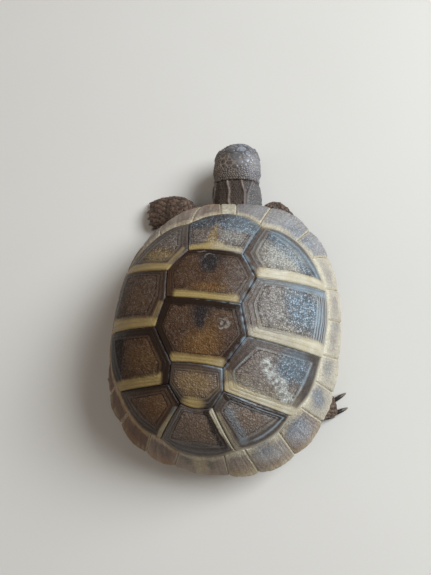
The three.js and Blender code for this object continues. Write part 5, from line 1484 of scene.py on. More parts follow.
FRONT_LEFT = [[-8.5, 18.6, 6.0, 3.3, 3.3], [-10.5, 24.5, 5.0, 3.4, 3.1], [-13.9, 28.2, 3.6, 3.7, 2.7],
              [-17.7, 28.6, 2.4, 3.7, 2.3], [-20.8, 28.1, 1.6, 3.3, 2.0]]
FRONT_RIGHT = [[8.2, 18.4, 6.0, 3.3, 3.3], [7.7, 23.6, 5.2, 3.2, 3.0], [7.9, 29.15, 3.9, 2.8, 2.7],
               [11.0, 26.0, 2.7, 3.0, 2.4], [12.9, 22.0, 1.7, 3.1, 2.1]]
HIND_RIGHT = [[9.5, -16.4, 6.0, 3.7, 3.7], [14.8, -16.0, 5.0, 3.6, 3.3], [19.6, -12.2, 3.1, 3.3, 2.8],
              [23.8, -10.9, 1.65, 2.2, 2.05]]
HIND_LEFT = [[-x + 0.25 * i, y - 0.1 * i, z, w, h] for i, (x, y, z, w, h) in enumerate(HIND_RIGHT)]
FRONT_CLAWS = [[-0.1, -2.85, -18], [0.35, -1.2, 2], [0.35, 0.3, 5], [0, 1.6, 12], [-0.6, 2.65, 22]]
HIND_CLAWS = [[-1.5, 2.2, 42], [1.15, 1.05, 22], [0.8, -1.6, 14], [-2.3, -2.2, -4]]
TAIL = [[0.0, -17.5, 4.6, 3.0, 2.7], [0.3, -20.6, 4.2, 2.6, 2.3], [1.0, -23.0, 3.2, 1.8, 1.6],
        [2.2, -24.8, 2.2, 1.05, 0.95], [3.4, -25.8, 1.6, 0.5, 0.5]]
K = 1 / 72
CHARTS = {"head": (0.010, 0.010, K, K), "leg_front_left": (0.400, 0.010, K, K), "leg_front_right": (0.400, 0.320, K, K),
          "leg_hind_left": (0.010, 0.470, K, K), "leg_hind_right": (0.400, 0.630, K, K), "tail": (0.780, 0.010, K, K),
          "trunk": (0.730, 0.300, 0.0040, 0.0048)}

# ---- head and neck: one run of sections [forward, value] ----
def stations(*rows):
    return [list(r) for r in rows]


def head_y(share):
    return NAPE + share * (NOSE - NAPE)


HW, HT, HB = HEAD_WIDTH / 2, HEAD_HEIGHT / 2 * 0.94, HEAD_HEIGHT / 2 * 0.97
HEAD_ROWS = [(0, 6.7, .83, .84), (.08, 6.8, .94, .93), (.2, 6.9, 1.0, .99), (.36, 7.0, .985, 1.0), (.52, 6.95, .935, .965),
             (.67, 6.8, .85, .9), (.79, 6.6, .73, .79), (.89, 6.35, .56, .64), (.96, 6.2, .37, .46)]
NECK_ROWS = [(19.0, 0.0, 6.0, 5.1, 3.9), (24.0, -.1, 5.8, 5.25, 3.75), (28.5, -.3, 5.75, 5.45, 3.65),
             (31.5, -.6, 6.1, 5.6, 3.85), (33.4, -.82, 6.45, 5.42, 3.95), (34.15, -.88, 6.62, 5.18, 3.72)]
wide = [[y, w] for y, x, z, w, h in NECK_ROWS] + [[34.42, 4.95], [34.75, 5.02]] + [[head_y(s), w * HW] for s, z, w, h in HEAD_ROWS[1:]]
tall_top = [[y, h] for y, x, z, w, h in NECK_ROWS] + [[34.42, 3.18], [34.75, 3.42]] + [[head_y(s), h * HT] for s, z, w, h in HEAD_ROWS[1:]]
tall_low = [[y, h] for y, x, z, w, h in NECK_ROWS] + [[34.42, 3.45], [34.75, 3.45]] + [[head_y(s), h * HB] for s, z, w, h in HEAD_ROWS[1:]]
level = [[y, z] for y, x, z, w, h in NECK_ROWS] + [[34.42, 6.66], [34.75, 6.7]] + [[head_y(s), z] for s, z, w, h in HEAD_ROWS[1:]]
HEAD_AXIS = -5 * DEG
HC, HS = math.cos(HEAD_AXIS), math.sin(HEAD_AXIS)


def head_rows(cols=212):
    y = np.concatenate([np.linspace(19, 26.5, 14), np.linspace(26.5, 33.4, 46)[1:], np.linspace(33.4, 36.2, 38)[1:],
                        np.linspace(36.2, 42.9, 72)[1:], 44.27 - (44.27 - 42.9) * (1 - np.linspace(0, 0.985, 32)[1:]) ** 2])
    share = (y - NAPE) / (44.275 - NAPE)
    # toward the snout's tip every half size falls off as a rounded end
    knee = 0.93
    end = np.sqrt(clip((1.0 - share) / (1 - knee)))
    w, ht, hb, z = (follow(tb, np.minimum(y, NAPE + knee * (44.275 - NAPE))) for tb in (wide, tall_top, tall_low, level))
    shrink = np.where(share > knee, end, 1.0)
    w, ht, hb = w * shrink - 0.12 * smooth(0.0, 0.4, shrink), ht * shrink - 0.12 * smooth(0.0, 0.4, shrink), hb * shrink - 0.12 * smooth(0.0, 0.4, shrink)
    z = np.where(share > knee, mix(6.1, z, shrink), z)
    cx = np.where(y < NAPE, follow([[r[0], r[1]] for r in NECK_ROWS] + [[34.9, -0.9]], np.minimum(y, 34.9)), -0.9)
    a = 2 * math.pi * np.arange(cols) / cols
    c, s = np.cos(a)[None, :], np.sin(a)[None, :]
    blend = smooth(34.0, 36.0, y)[:, None]
    p = mix(2.2, np.where(s > 0, 2.35, 2.1), blend)
    k = (np.abs(c) ** p + np.abs(s) ** p) ** (-1 / p)
    right = c * k * w[:, None]
    up = z[:, None] + s * k * np.where(s > 0, ht[:, None], hb[:, None])
    yaw = smooth(31.5, 35.0, y)[:, None]
    cc, ss = mix(1, HC, yaw), mix(0, HS, yaw)
    along = np.maximum(0, y - NAPE)[:, None]
    px = cx[:, None] + right * cc + along * HS
    py = np.where(y[:, None] < NAPE, y[:, None], NAPE) - right * ss + along * HC
    P = np.stack([px, py, up], -1)
    return P, dict(y=y[:, None] + 0 * right, right=right, up=up, along=(y - NAPE)[:, None] + 0 * right, a=a[None, :] + 0 * right,
                   c=c + 0 * right, s=s + 0 * right)


def mouth_height(along):
    """Level of the gape along the head: straight, a hook down at the tip, a turn up at the corner."""
    return 5.22 + 0.10 * np.sin((along - 4.4) * 1.0) - 0.22 * smooth(8.7, 9.5, along) + 0.30 * smooth(5.0, 4.2, along)


EYE_ALONG, EYE_UP, EYE_SIDE = 0.66 * (NOSE - NAPE), 7.3, HW * 0.845 - EYE_RADIUS * 0.88 - 0.02


def head_relief(i):
    """Displacement along the normal, and how pale the skin is."""
    al, rt, z, y = i["along"], i["right"], i["up"], i["y"]
    flat = lambda a_: a_.ravel()
    q = np.stack([flat(rt), flat(y), flat(z)], 1)
    shape = al.shape
    side = smooth(0.35, 0.75, np.abs(i["c"]))
    e = np.hypot((al - EYE_ALONG) / 1.00, (z - EYE_UP) / (0.74 + 0.10 * (z < EYE_UP)))
    d = side * ((0.24 + 0.10 * smooth(EYE_UP, EYE_UP + 0.6, z)) * np.exp(-((e - 1.22) / 0.18) ** 2) - 0.80 * smooth(1.06, 0.86, e) - 0.05 * np.exp(-((e - 1.62) / 0.12) ** 2)
                + 0.05 * np.exp(-((e - 1.88) / 0.12) ** 2) - 0.035 * np.exp(-((e - 2.15) / 0.12) ** 2))
    brow = np.exp(-(((al - 6.3) / 1.9) ** 2 + ((z - 8.75) / 0.45) ** 2)) * smooth(0.3, 0.6, np.abs(i["c"]))
    d = d + 0.16 * brow
    m = np.exp(-((z - mouth_height(al)) / 0.085) ** 2) * smooth(4.1, 4.6, al)
    d = d - 0.20 * m + 0.05 * np.exp(-((z - mouth_height(al) + 0.3) / 0.2) ** 2) * smooth(4.4, 5.2, al)
    hole = np.hypot((np.abs(rt) - 0.60) / 0.24, (z - 6.98) / 0.17)
    nostril = smooth(1.25, 0.75, hole) * smooth(8.3, 8.7, al)
    d = d - 0.42 * nostril + 0.05 * np.exp(-((hole - 1.55) / 0.3) ** 2) * smooth(8.3, 8.7, al)
    drum = np.hypot((al - 2.9) / 1.15, (z - 6.1) / 1.25)
    d = d + side * (-0.10 * smooth(1.0, 0.75, drum) + 0.06 * np.exp(-((drum - 1.1) / 0.14) ** 2)) * (al > 0.8)
    # rear edge of the crown stands out over the neck, with a crease behind
    crown = smooth(-0.3, 0.2, i["s"])
    d = d + 0.20 * np.exp(-((y - 34.86) / 0.20) ** 2) * crown
    # long folds of loose neck skin
    on_neck = smooth(26.5, 28.0, y) * smooth(34.5, 34.0, y)
    fold = np.zeros(shape)
    wav = 0.10 * noise(np.stack([flat(y), flat(y) * 0, flat(y) * 0], 1), 1.1, 81).reshape(shape)
    top = smooth(0.0, 0.3, i["s"])
    for x0, x1, hgt, wd, w_end in ((-4.35, -4.65, 0.24, 0.24, 0.26), (-1.50, -1.10, 0.30, 0.30, 0.30), (1.60, 2.25, 0.34, 0.24, 0.24),
                                   (3.80, 2.85, 0.32, 0.24, 0.22), (0.25, 0.1, 0.05, 0.4, 0.5), (-3.1, -3.2, 0.07, 0.3, 0.3)):
        back = smooth(34.3, 31.2, y)
        fold = fold + hgt * np.exp(-((rt - mix(x0, x1, back) - wav * (1 + (x0 < 0))) / mix(wd, w_end, back)) ** 2) * top
    turn = i["a"] / (2 * math.pi)
    low = smooth(0.15, -0.2, i["s"])
    fold = fold + low * 0.16 * np.maximum(0, np.sin(2 * math.pi * (turn * 19 + 0.5 * wav))) ** 2
    d = d + fold * on_neck
    wr = 0.10 * np.maximum(0, np.sin(2 * math.pi * (y / 0.95 + 0.35 * noise(q, 2.5, 82).reshape(shape)))) ** 2
    d = d + wr * smooth(26, 27.5, y) * smooth(34.2, 33.0, y) * (0.35 + 0.65 * low)
    d = d + 0.05 * fbm(q, 1.6, 3, 83).reshape(shape) + 0.025 * noise(q, 0.35, 84).reshape(shape)
    patch = 0.72 + 0.38 * noise(np.stack([flat(rt), flat(y), flat(z)], 1), 1.3, 98).reshape(shape)
    # the pale line along the crown's rear edge is a painted highlight
    pale = clip(2.7 * fold * top * patch, 0, 0.85) * on_neck + 0.75 * np.exp(-((y - 34.80) / 0.16) ** 2) * crown
    pale = pale + 0.5 * smooth(0.0, 0.5, crown) * smooth(35.2, 35.6, y) * smooth(41.5, 39.5, y) + 0.25 * side * (al > 0) + 0.3 * low
    i["fold"] = fold * on_neck * top
    return d, clip(pale), m, nostril


# ---- build every tube ----
tubes, pales = {}, {}
P, hi = head_rows()
head = Tube(P, CHARTS["head"])
d, pale, MOUTH, NOSTRIL = head_relief(hi)
head.P = head.P + head.N * d[..., None]
head.refresh()
tubes["head"], pales["head"] = head, pale.ravel()
HEAD_I = hi

for name, st in (("leg_front_left", FRONT_LEFT), ("leg_front_right", FRONT_RIGHT), ("leg_hind_left", HIND_LEFT), ("leg_hind_right", HIND_RIGHT)):
    P, li = limb_rows(st, 96)
    tb = Tube(P, CHARTS[name])
    q = tb.P.reshape(-1, 3)
    sh = tb.P.shape[:2]
    wr = np.maximum(0, np.sin(2 * math.pi * (tb.U[:, None] / 1.35 + 0.30 * noise(q, 3.0, 91).reshape(sh)))) ** 2
    d = 0.16 * (wr - 0.5) * smooth(0.9, 0.45, li["t"])[:, None] + 0.05 * fbm(q, 1.4, 3, 92).reshape(sh)
    # toes: shallow grooves between the claws at the end of the foot
    s_ = li["s"][None, :]
    toe = np.cos(li["c"] * 5.2 * math.pi / 2 * 1.0)[None, :]
    d = d + 0.10 * toe * smooth(0.82, 0.97, li["t"])[:, None] * (s_ > -0.2)
    tb.P = tb.P + tb.N * (d * smooth(0.0, 0.05, li["t"])[:, None])[..., None]
    tb.P[..., 2] = np.maximum(tb.P[..., 2], 0.05)
    tb.refresh()
    tubes[name] = tb
    pales[name] = (0.25 + 0.25 * (wr * smooth(0.9, 0.4, li["t"])[:, None])).ravel()

P, li = limb_rows(TAIL, 72, squareness=2.0, tip=0.25, inset=0.1)
tb = Tube(P, CHARTS["tail"])
tb.P[..., 2] = np.maximum(tb.P[..., 2], 0.05)
tubes["tail"] = tb
pales["tail"] = np.full(tb.P.shape[0] * tb.P.shape[1], 0.3)


# ---- trunk: flesh between the plates ----
def trunk_rows(cols=168, inset=0.12):
    ang = -90 + 360 * np.arange(cols) / cols
    R = outline(ang)
    ca, sa = np.cos(ang * DEG), np.sin(ang * DEG)
    br = bridge_share(R * sa)
    under = -(SCUTE + 0.35 + 0.15) - inset
    rings = []

    def from_dome(share):
        p = on_dome(share * R * ca, share * R * sa, np.full(cols, under))
        rings.append((np.hypot(p[:, 0], p[:, 1]), p[:, 2]))

    for share in (0.3, 0.55, 0.74):
        from_dome(np.full(cols, share))
    from_dome(seam_share(ang) - 0.015)
    gap = mix(5.4, 3.7, br) + inset
    rings.append((R - gap, mix(11.2, 8.6, br)))
    rings.append((R - gap - 0.5, mix(7.2, 7.2, br)))
    rings.append((R - gap - mix(1.8, 2.3, br), mix(3.6, 5.3, br)))
    sole = SCUTE + 0.35 + inset
    rings.append((np.minimum(R - gap - 4.2, mix(18.5, 13.2, np.abs(ca) ** 1.5)) - inset, np.full(cols, sole + 0.1)))
    rings.append((0.5 * R, np.full(cols, sole)))
    rows = []
    counts = [2, 2, 2, 3, 14, 18, 10, 3]
    for k, (a, b) in enumerate(zip(rings[:-1], rings[1:])):
        for f in np.arange(counts[k]) / counts[k]:
            rows.append((mix(a[0], b[0], f), mix(a[1], b[1], f)))
    rows.append(rings[-1])
    return np.stack([np.stack([r * ca, r * sa, z], 1) for r, z in rows])


P = trunk_rows()
tb = Tube(P, CHARTS["trunk"])
q = tb.P.reshape(-1, 3)
sh = tb.P.shape[:2]
z = tb.P[..., 2]
loose = smooth(12.0, 9.5, z) * smooth(1.4, 2.4, z)
ang = np.arctan2(tb.P[..., 1], tb.P[..., 0])
folds = np.maximum(0, np.sin(ang * 46 + 1.6 * noise(q, 3.0, 95).reshape(sh))) ** 2
tb.P = tb.P - tb.N * (loose * (0.20 * folds + 0.10))[..., None]
tb.refresh()
tubes["trunk"] = tb
pales["trunk"] = (0.05 + 0.20 * (1 - folds) * loose).ravel()


# ---- one skin: the union of all of them ----
def raw_mesh(name, pts, quads, tris):
    me = bpy.data.meshes.new(name)
    v = np.asarray(pts, np.float32)
    me.vertices.add(len(v))
    me.vertices.foreach_set("co", v.ravel())
    loops = np.concatenate([quads.ravel(), tris.ravel()]).astype(np.int32)
    starts = np.concatenate([np.arange(len(quads)) * 4, len(quads) * 4 + np.arange(len(tris)) * 3]).astype(np.int32)
    me.loops.add(len(loops))
    me.loops.foreach_set("vertex_index", loops)
    me.polygons.add(len(starts))
    me.polygons.foreach_set("loop_start", starts)
    me.update(calc_edges=True)
    return me


def signed_volume(pts, quads, tris):
    t = np.concatenate([tris, quads[:, [0, 1, 2]], quads[:, [0, 2, 3]]])
    a, b, c = pts[t[:, 0]], pts[t[:, 1]], pts[t[:, 2]]
    return float((a * np.cross(b, c)).sum() / 6)


ORDER = ["trunk", "head", "leg_front_left", "leg_front_right", "leg_hind_left", "leg_hind_right", "tail"]
source_pts, source_part, source_u, source_t, source_pale = [], [], [], [], []
union = None
for number, name in enumerate(ORDER):
    pts, quads, tris, U, T = tubes[name].mesh()
    if signed_volume(pts, quads, tris) < 0:
        quads, tris = quads[:, ::-1], tris[:, ::-1]
    source_pts.append(pts)
    source_part.append(np.full(len(pts), number))
    source_u.append(U)
    source_t.append(T)
    source_pale.append(np.concatenate([pales[name], [0.3, 0.3]]))
    ob = bpy.data.objects.new("raw_" + name, raw_mesh("raw_" + name, pts, quads, tris))
    bpy.context.scene.collection.objects.link(ob)
    if union is None:
        union = ob
        continue
    mod = union.modifiers.new("join", "BOOLEAN")
    mod.operation = "UNION"
    mod.object = ob
    try:
        mod.solver = "MANIFOLD"
    except TypeError:
        mod.solver = "EXACT"
    dg = bpy.context.evaluated_depsgraph_get()
    joined = bpy.data.meshes.new_from_object(union.evaluated_get(dg))
    union.modifiers.clear()
    union.data = joined
    bpy.data.objects.remove(ob)
source_pts, source_part = np.concatenate(source_pts), np.concatenate(source_part)
source_u, source_t, source_pale = np.concatenate(source_u), np.concatenate(source_t), np.concatenate(source_pale)
me = union.data
me.calc_loop_triangles()
V = np.empty(len(me.vertices) * 3, np.float32)
me.vertices.foreach_get("co", V)
V = V.reshape(-1, 3).astype(float)
TR = np.empty(len(me.loop_triangles) * 3, np.int32)
me.loop_triangles.foreach_get("vertices", TR)
TR = TR.reshape(-1, 3)
E = np.empty(len(me.edges) * 2, np.int32)
me.edges.foreach_get("vertices", E)
E = E.reshape(-1, 2)
bpy.data.objects.remove(union)
tree = KDTree(len(source_pts))
for k, p in enumerate(source_pts):
    tree.insert(p, k)
tree.balance()
near = np.array([tree.find(p)[1] for p in V])
part = source_part[near]
# ease the creases where the parts meet
crossing = part[E[:, 0]] != part[E[:, 1]]
seam_pts = V[E[crossing]].reshape(-1, 3)
st = KDTree(len(seam_pts))
for k, p in enumerate(seam_pts):
    st.insert(p, k)
st.balance()
weight = np.zeros(len(V))
box_lo, box_hi = seam_pts.min(0) - 1.3, seam_pts.max(0) + 1.3
for k in np.nonzero(((V > box_lo) & (V < box_hi)).all(1))[0]:
    weight[k] = max(0.0, 1 - st.find(V[k])[2] / 1.1)
degree = np.bincount(E.ravel(), minlength=len(V)).astype(float)
for _ in range(22):
    total = np.zeros_like(V)
    for a_, b_ in ((0, 1), (1, 0)):
        for k in range(3):
            total[:, k] += np.bincount(E[:, a_], V[E[:, b_], k], minlength=len(V))
    mean = total / np.maximum(degree, 1)[:, None]
    V = V + (mean - V) * (0.75 * weight)[:, None]
V[:, 2] = np.maximum(V[:, 2], 0.05)
# the unwrap: each face takes the chart of the part it belongs to
tri_near = near[TR]
tri_part = source_part[tri_near]
face_part = np.where(tri_part[:, 1] == tri_part[:, 2], tri_part[:, 1], tri_part[:, 0])
turn = source_t[tri_near]
turn = np.where(turn.max(1, keepdims=True) - turn > 0.5, turn + 1.0, turn)
uv = np.zeros((len(TR), 3, 2))
for number, name in enumerate(ORDER):
    mine = face_part == number
    uv[mine] = tubes[name].uv(source_u[tri_near[mine]], turn[mine])
pale_v = source_pale[near] * (1 - 0.6 * weight) + 0.3 * weight * 0.6
PARTS = {n: k for k, n in enumerate(ORDER)}


def lit_sheen_grey(p):
    """How grey rather than brown the skin is painted on the right and front of the head and the right of the neck: a
    painted sheen of the lit side.
    """
    x, y = p[:, 0], p[:, 1]
    g = smooth(-3.2, 2.6, x + 0.35 * (y - 38)) * smooth(33.8, 36.5, y)
    return clip(g + 0.35 * smooth(39.5, 42.5, y) + 1.0 * smooth(0.8, 3.2, x) * smooth(24, 30, y) * smooth(34.5, 34.0, y) * (np.abs(x) < 7))


def glints(p):
    """Scales of the snout painted nearly white: a painted reflection."""
    x, y, z = p[:, 0], p[:, 1], p[:, 2]
    g = 1.0 * np.exp(-((x - 2.35) / 0.75) ** 2 - ((y - 39.6) / 1.0) ** 2) + 0.55 * np.exp(-((x + 0.2) / 0.9) ** 2 - ((y - 41.9) / 0.8) ** 2)
    g = g + 0.50 * np.exp(-((x - 1.1) / 0.7) ** 2 - ((y - 40.6) / 0.9) ** 2) + 0.35 * np.exp(-((x - 2.9) / 0.8) ** 2 - ((y - 37.4) / 0.9) ** 2)
    return clip(g + 0.22 * noise(p, 0.8, 97) * smooth(36.0, 39.0, y)) * smooth(6.0, 7.2, z)


def skin_material(name, dark, brown, pale, grey, rough=(0.52, 0.78)):
    m = Tree(name)
    blot = m.noise(2.6, 4, 0.6)
    fine = m.noise(0.30, 5, 0.6)
    cell = m.voronoi(0.26, "DISTANCE_TO_EDGE")
    crease = m.ramp(cell, 0.0, 0.10)
    cool = m.attr("cool")
    # the cool weight greys the skin: painted sheen on the lit right and front
    c = m.mix(m.ramp(blot, 0.38, 0.62), m.mix(m.math("MULTIPLY", cool, 0.45), dark, grey), m.mix(m.math("MULTIPLY", cool, 0.85), brown, grey))
    lightness = m.ramp(m.math("ADD", m.attr("pale"), m.math("MULTIPLY", m.math("SUBTRACT", fine, 0.5), 0.5)), 0.12, 0.95)
    c = m.mix(m.math("MULTIPLY", lightness, 0.9), c, pale)
    c = m.mix(m.math("MULTIPLY", m.ramp(crease, 1.0, 0.0), 0.5), c, m.mix(0.35, dark, brown))
    c = m.mix(m.math("MULTIPLY", m.ramp(fine, 0.52, 0.75), 0.35), c, m.mix(0.5, c, pale))
    h = m.math("ADD", m.math("MULTIPLY", crease, 0.7), m.math("MULTIPLY", fine, 0.6))
    n1 = m.bump(h, 0.05, 1.0)
    n2 = m.bump(m.noise(0.09, 3, 0.6), 0.015, 0.7, n1)
    r = m.ramp(fine, 0.3, 0.75, rough[0], rough[1])
    return m.done(c, r, n2, specular=0.42, subsurface=0.05, radius=(1.0, 0.45, 0.3), scale=0.0004)


skin_mat = skin_material("tortoise_skin", srgb(48, 37, 31), srgb(76, 60, 50), srgb(168, 154, 145), srgb(100, 101, 105))
skin = make_mesh("skin", V, None, TR, {"pale": pale_v, "cool": lit_sheen_grey(V)}, uv=uv.reshape(-1, 2), material=skin_mat)
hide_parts("trunk", "neck", "head", "tail", "leg_front_left", "leg_front_right", "leg_hind_left", "leg_hind_right")


# ------------------------------------------------------------------ scales
def rows_of_seeds(tube, u0, u1, size, seed, keep=None, jitter=0.16):
    """Staggered seeds along a tube with spacing size(u); keep(u, turn) may drop some."""
    r = np.random.default_rng(seed)
    out = []
    u, k = u0, 0
    while u < u1:
        s = float(size(u)) if callable(size) else size
        n = max(5, int(round(float(tube.girth(u)) / s)))
        t = (np.arange(n) + 0.5 * (k % 2)) / n + r.normal(0, jitter * 0.5, n) / n
        uu = u + r.normal(0, jitter * 0.5, n) * s
        out.append(np.stack([uu, t % 1.0, np.full(n, s)], 1))
        u += s * 0.87
        k += 1
    S = np.concatenate(out)
    if keep is not None:
        S = S[keep(S[:, 0], S[:, 1])]
    return S


def local_offsets(tube, S, k=14):
    """For every seed, offsets in mm (along, across) to its nearest neighbours, and its own share of each gap."""
    n = len(S)
    C = tube.girth(S[:, 0])
    out = np.zeros((n, k, 2))
    share = np.zeros((n, k))
    for a in range(0, n, 400):
        b = min(n, a + 400)
        du = S[None, :, 0] - S[a:b, None, 0]
        dv = S[None, :, 1] - S[a:b, None, 1]
        dv = (dv - np.round(dv)) * C[a:b, None]
        both = S[None, :, 2] + S[a:b, None, 2]
        dd = (du ** 2 + dv ** 2) / both ** 2
        dd[np.arange(b - a), np.arange(a, b)] = 1e9
        idx = np.argpartition(dd, k, axis=1)[:, :k]
        out[a:b, :, 0] = np.take_along_axis(du, idx, 1)
        out[a:b, :, 1] = np.take_along_axis(dv, idx, 1)
        share[a:b] = S[a:b, None, 2] / np.take_along_axis(both, idx, 1)
    return out, C, share


def scale_mesh(tube, S, height, gap=0.03, dirs=8, rings=(1.0, 0.82, 0.45), profile=(0.0, 0.75, 1.0), lean=0.0,
               stretch=0.0, sharp=7.0, sink=0.05, limit=0.8, seed=1, shade=0.0, peak=1.0, uv_size=0.0015):
    """Solid scales filling the cells round the seeds. lean lifts the free end, stretch lets it overlap."""
    n = len(S)
    r = np.random.default_rng(seed)
    D, C, share = local_offsets(tube, S)
    th = 2 * math.pi * (np.arange(dirs) + 0.5) / dirs
    e = np.stack([np.cos(th), np.sin(th)], 1)
    dot = np.einsum("nkc,dc->nkd", D, e)
    half = ((D ** 2).sum(2) * share)[:, :, None]
    reach = np.where(dot > 1e-6, half / np.maximum(dot, 1e-6), 1e3)
    reach = np.minimum(reach, 1e3)
    rad = (reach ** -sharp).sum(1) ** (-1 / sharp)
    rad = np.minimum(rad, limit * S[:, 2:3]) - gap
    rad = np.maximum(rad, 0.04)
    h = (height if np.ndim(height) else np.full(n, height)) * (1 + 0.18 * r.normal(size=n))
    P, U, T, W, HH = [], [], [], [], []
    size = S[:, 2]
    for f, p in zip(rings, profile):
        ou = f * rad * e[:, 0] + stretch * size[:, None] * (e[:, 0] > 0) * e[:, 0] * f
        ov = f * rad * e[:, 1] * (1 - 0.25 * stretch * (e[:, 0] > 0) * e[:, 0])
        u = S[:, 0:1] + ou
        t = S[:, 1:2] + ov / C[:, None]
        pos, nor = tube.at(u, t)
        rel = ou / np.maximum(size[:, None], 0.05)
        hh = -sink * (1 - p) * np.ones_like(rel) + h[:, None] * p + lean * size[:, None] * np.maximum(0, rel + 0.15) * (0.35 + 0.65 * (p > 0 or stretch > 0))
        if f == rings[0]:
            hh = np.where(rel > 0.2, hh * 0.55, hh) if lean > 0 else hh
        P.append(pos + nor * hh[..., None])
        U.append(ou)
        T.append(ov)
        W.append(np.full((n, dirs), p))
    pos, nor = tube.at(S[:, 0:1] + 0 * S[:, 1:2], S[:, 1:2])
    top = pos + nor * (h[:, None] * peak + lean * size[:, None] * 0.15)[..., None]
    low = pos - nor * 0.12
    m = len(rings) * dirs + 2
    V = np.concatenate([np.stack(P, 1).reshape(n, -1, 3), top, low], 1).reshape(-1, 3)
    faces = []
    j = np.arange(dirs)
    k2 = (j + 1) % dirs
    for a in range(len(rings) - 1):
        o, i2 = a * dirs, (a + 1) * dirs
        faces += [np.stack([o + j, o + k2, i2 + k2], 1), np.stack([o + j, i2 + k2, i2 + j], 1)]
    last = (len(rings) - 1) * dirs
    faces.append(np.stack([last + j, last + k2, np.full(dirs, m - 2)], 1))
    faces.append(np.stack([k2, j, np.full(dirs, m - 1)], 1))
    F = np.concatenate(faces)
    F = (F[None] + (np.arange(n) * m)[:, None, None]).reshape(-1, 3)
    root = tube.uv(S[:, 0], S[:, 1])
    big = np.maximum(rad.max(1), 0.05)
    lu = np.concatenate([np.stack(U, 1).reshape(n, -1), np.zeros((n, 2))], 1) / big[:, None]
    lv = np.concatenate([np.stack(T, 1).reshape(n, -1), np.zeros((n, 2))], 1) / big[:, None]
    uvp = root[:, None] + np.stack([lu, lv], -1) * uv_size
    w = np.concatenate([np.stack(W, 1).reshape(n, -1), np.full((n, 1), 1.0), np.zeros((n, 1))], 1)
    tone = np.repeat(r.uniform(-1, 1, n) + shade, m)
    tops = V.reshape(n, m, 3)[:, -2]
    return V, F, uvp.reshape(-1, 2), dict(crest=w.ravel(), tone=tone, free=lu.ravel(), cool=np.repeat(lit_sheen_grey(tops), m), glint=np.repeat(glints(tops), m))


def join_scales(name, groups, material):
    V, F, UVs, A, base = [], [], [], {}, 0
    for v, f, uvp, att in groups:
        V.append(v)
        F.append(f + base)
        UVs.append(uvp)
        for k, val in att.items():
            A.setdefault(k, []).append(val)
        base += len(v)
    V, F, UVs = np.concatenate(V), np.concatenate(F), np.concatenate(UVs)
    V[:, 2] = np.maximum(V[:, 2], 0.02)
    if signed_volume(V, np.zeros((0, 4), int), F) < 0:
        F = F[:, ::-1]
    ob = make_mesh(name, V, None, F, {k: np.concatenate(v) for k, v in A.items()}, uv=UVs, material=material)
    return ob


def scale_material(name, dark, brown, edge, rough=(0.38, 0.62), specular=0.5, grey=None, grey_edge=None):
    m = Tree(name)
    tone = m.attr("tone")
    crest = m.attr("crest")
    free = m.attr("free")
    cool = m.attr("cool")
    blot = m.noise(1.8, 4, 0.6)
    fine = m.noise(0.16, 4, 0.6)
    grey = grey or brown
    grey_edge = grey_edge or edge
    # the cool weight greys the scales: painted sheen on the lit right and front
    brown = m.mix(cool, brown, grey)
    dark = m.mix(cool, dark, m.mix(0.45, dark, grey))
    edge = m.mix(cool, edge, grey_edge)
    c = m.mix(m.ramp(m.math("ADD", m.math("MULTIPLY", tone, 0.22), blot), 0.3, 0.75), dark, brown)
    c = m.mix(m.math("MULTIPLY", m.ramp(m.math("ADD", crest, m.math("MULTIPLY", fine, 0.3)), 0.75, 0.15), 0.55), c, edge)
    c = m.mix(m.math("MULTIPLY", m.ramp(free, 0.3, 1.0), 0.30), c, edge)
    c = m.mix(m.math("MULTIPLY", m.ramp(fine, 0.5, 0.8), 0.35), c, m.mix(0.4, c, edge))
    if name == "head_shields":
        patchy = m.ramp(m.noise(0.42, 3, 0.6), 0.44, 0.60)
        shine = m.math("MULTIPLY", m.math("MULTIPLY", m.attr("glint"), patchy), m.ramp(m.math("ADD", crest, m.math("MULTIPLY", fine, 0.5)), 0.55, 1.15))
        c = m.mix(m.math("MULTIPLY", shine, 0.62), c, srgb(196, 206, 220))
    n1 = m.bump(m.math("ADD", fine, m.math("MULTIPLY", m.noise(0.4, 3, 0.5), 0.8)), 0.03, 0.9)
    return m.done(c, m.ramp(fine, 0.3, 0.75, rough[0], rough[1]), n1, specular=specular)


head_scale_mat = scale_material("head_shields", srgb(60, 52, 46), srgb(98, 86, 75), srgb(142, 130, 120), rough=(0.24, 0.44), specular=0.6,
                                grey=srgb(122, 126, 134), grey_edge=srgb(164, 168, 176))
neck_scale_mat = scale_material("neck_granules", srgb(34, 26, 21), srgb(54, 42, 34), srgb(84, 71, 62), rough=(0.5, 0.72),
                                grey=srgb(124, 120, 119), grey_edge=srgb(156, 152, 150))
limb_scale_mat = scale_material("limb_scales", srgb(54, 39, 31), srgb(98, 75, 60), srgb(134, 112, 95), rough=(0.42, 0.64))


# ---- head and neck scales ----
def head_place(along, right, under=False):
    """(u, turn) of a place given by mm along the head and mm to the right, on the crown or underneath."""
    rows_y = HEAD_I["y"][:, 0]
    i = int(np.argmin(np.abs(rows_y - (NAPE + along))))
    half_cols = head.cols // 2
    if under:
        cols = np.arange(half_cols, head.cols)
        j = np.interp(right, HEAD_I["right"][i, cols], cols)
    else:
        cols = np.arange(0, half_cols + 1)
        j = np.interp(-right, -HEAD_I["right"][i, cols], cols)
    return float(head.U[i]), float(j) / head.cols


def side_place(along, z, side):
    rows_y = HEAD_I["y"][:, 0]
    i = int(np.argmin(np.abs(rows_y - (NAPE + along))))
    c = HEAD_I["c"][i] * side
    up = np.where(c > 0, HEAD_I["up"][i], 1e3)
    return float(head.U[i]), float(np.argmin(np.abs(up - z))) / head.cols


def head_lookup(u, turn):
    i = np.clip(np.round(np.interp(u, head.U, np.arange(head.rows))).astype(int), 0, head.rows - 1)
    j = np.round(turn * head.cols).astype(int) % head.cols
    return {k: HEAD_I[k][i, j] for k in ("along", "right", "up", "c", "s", "y", "fold")}


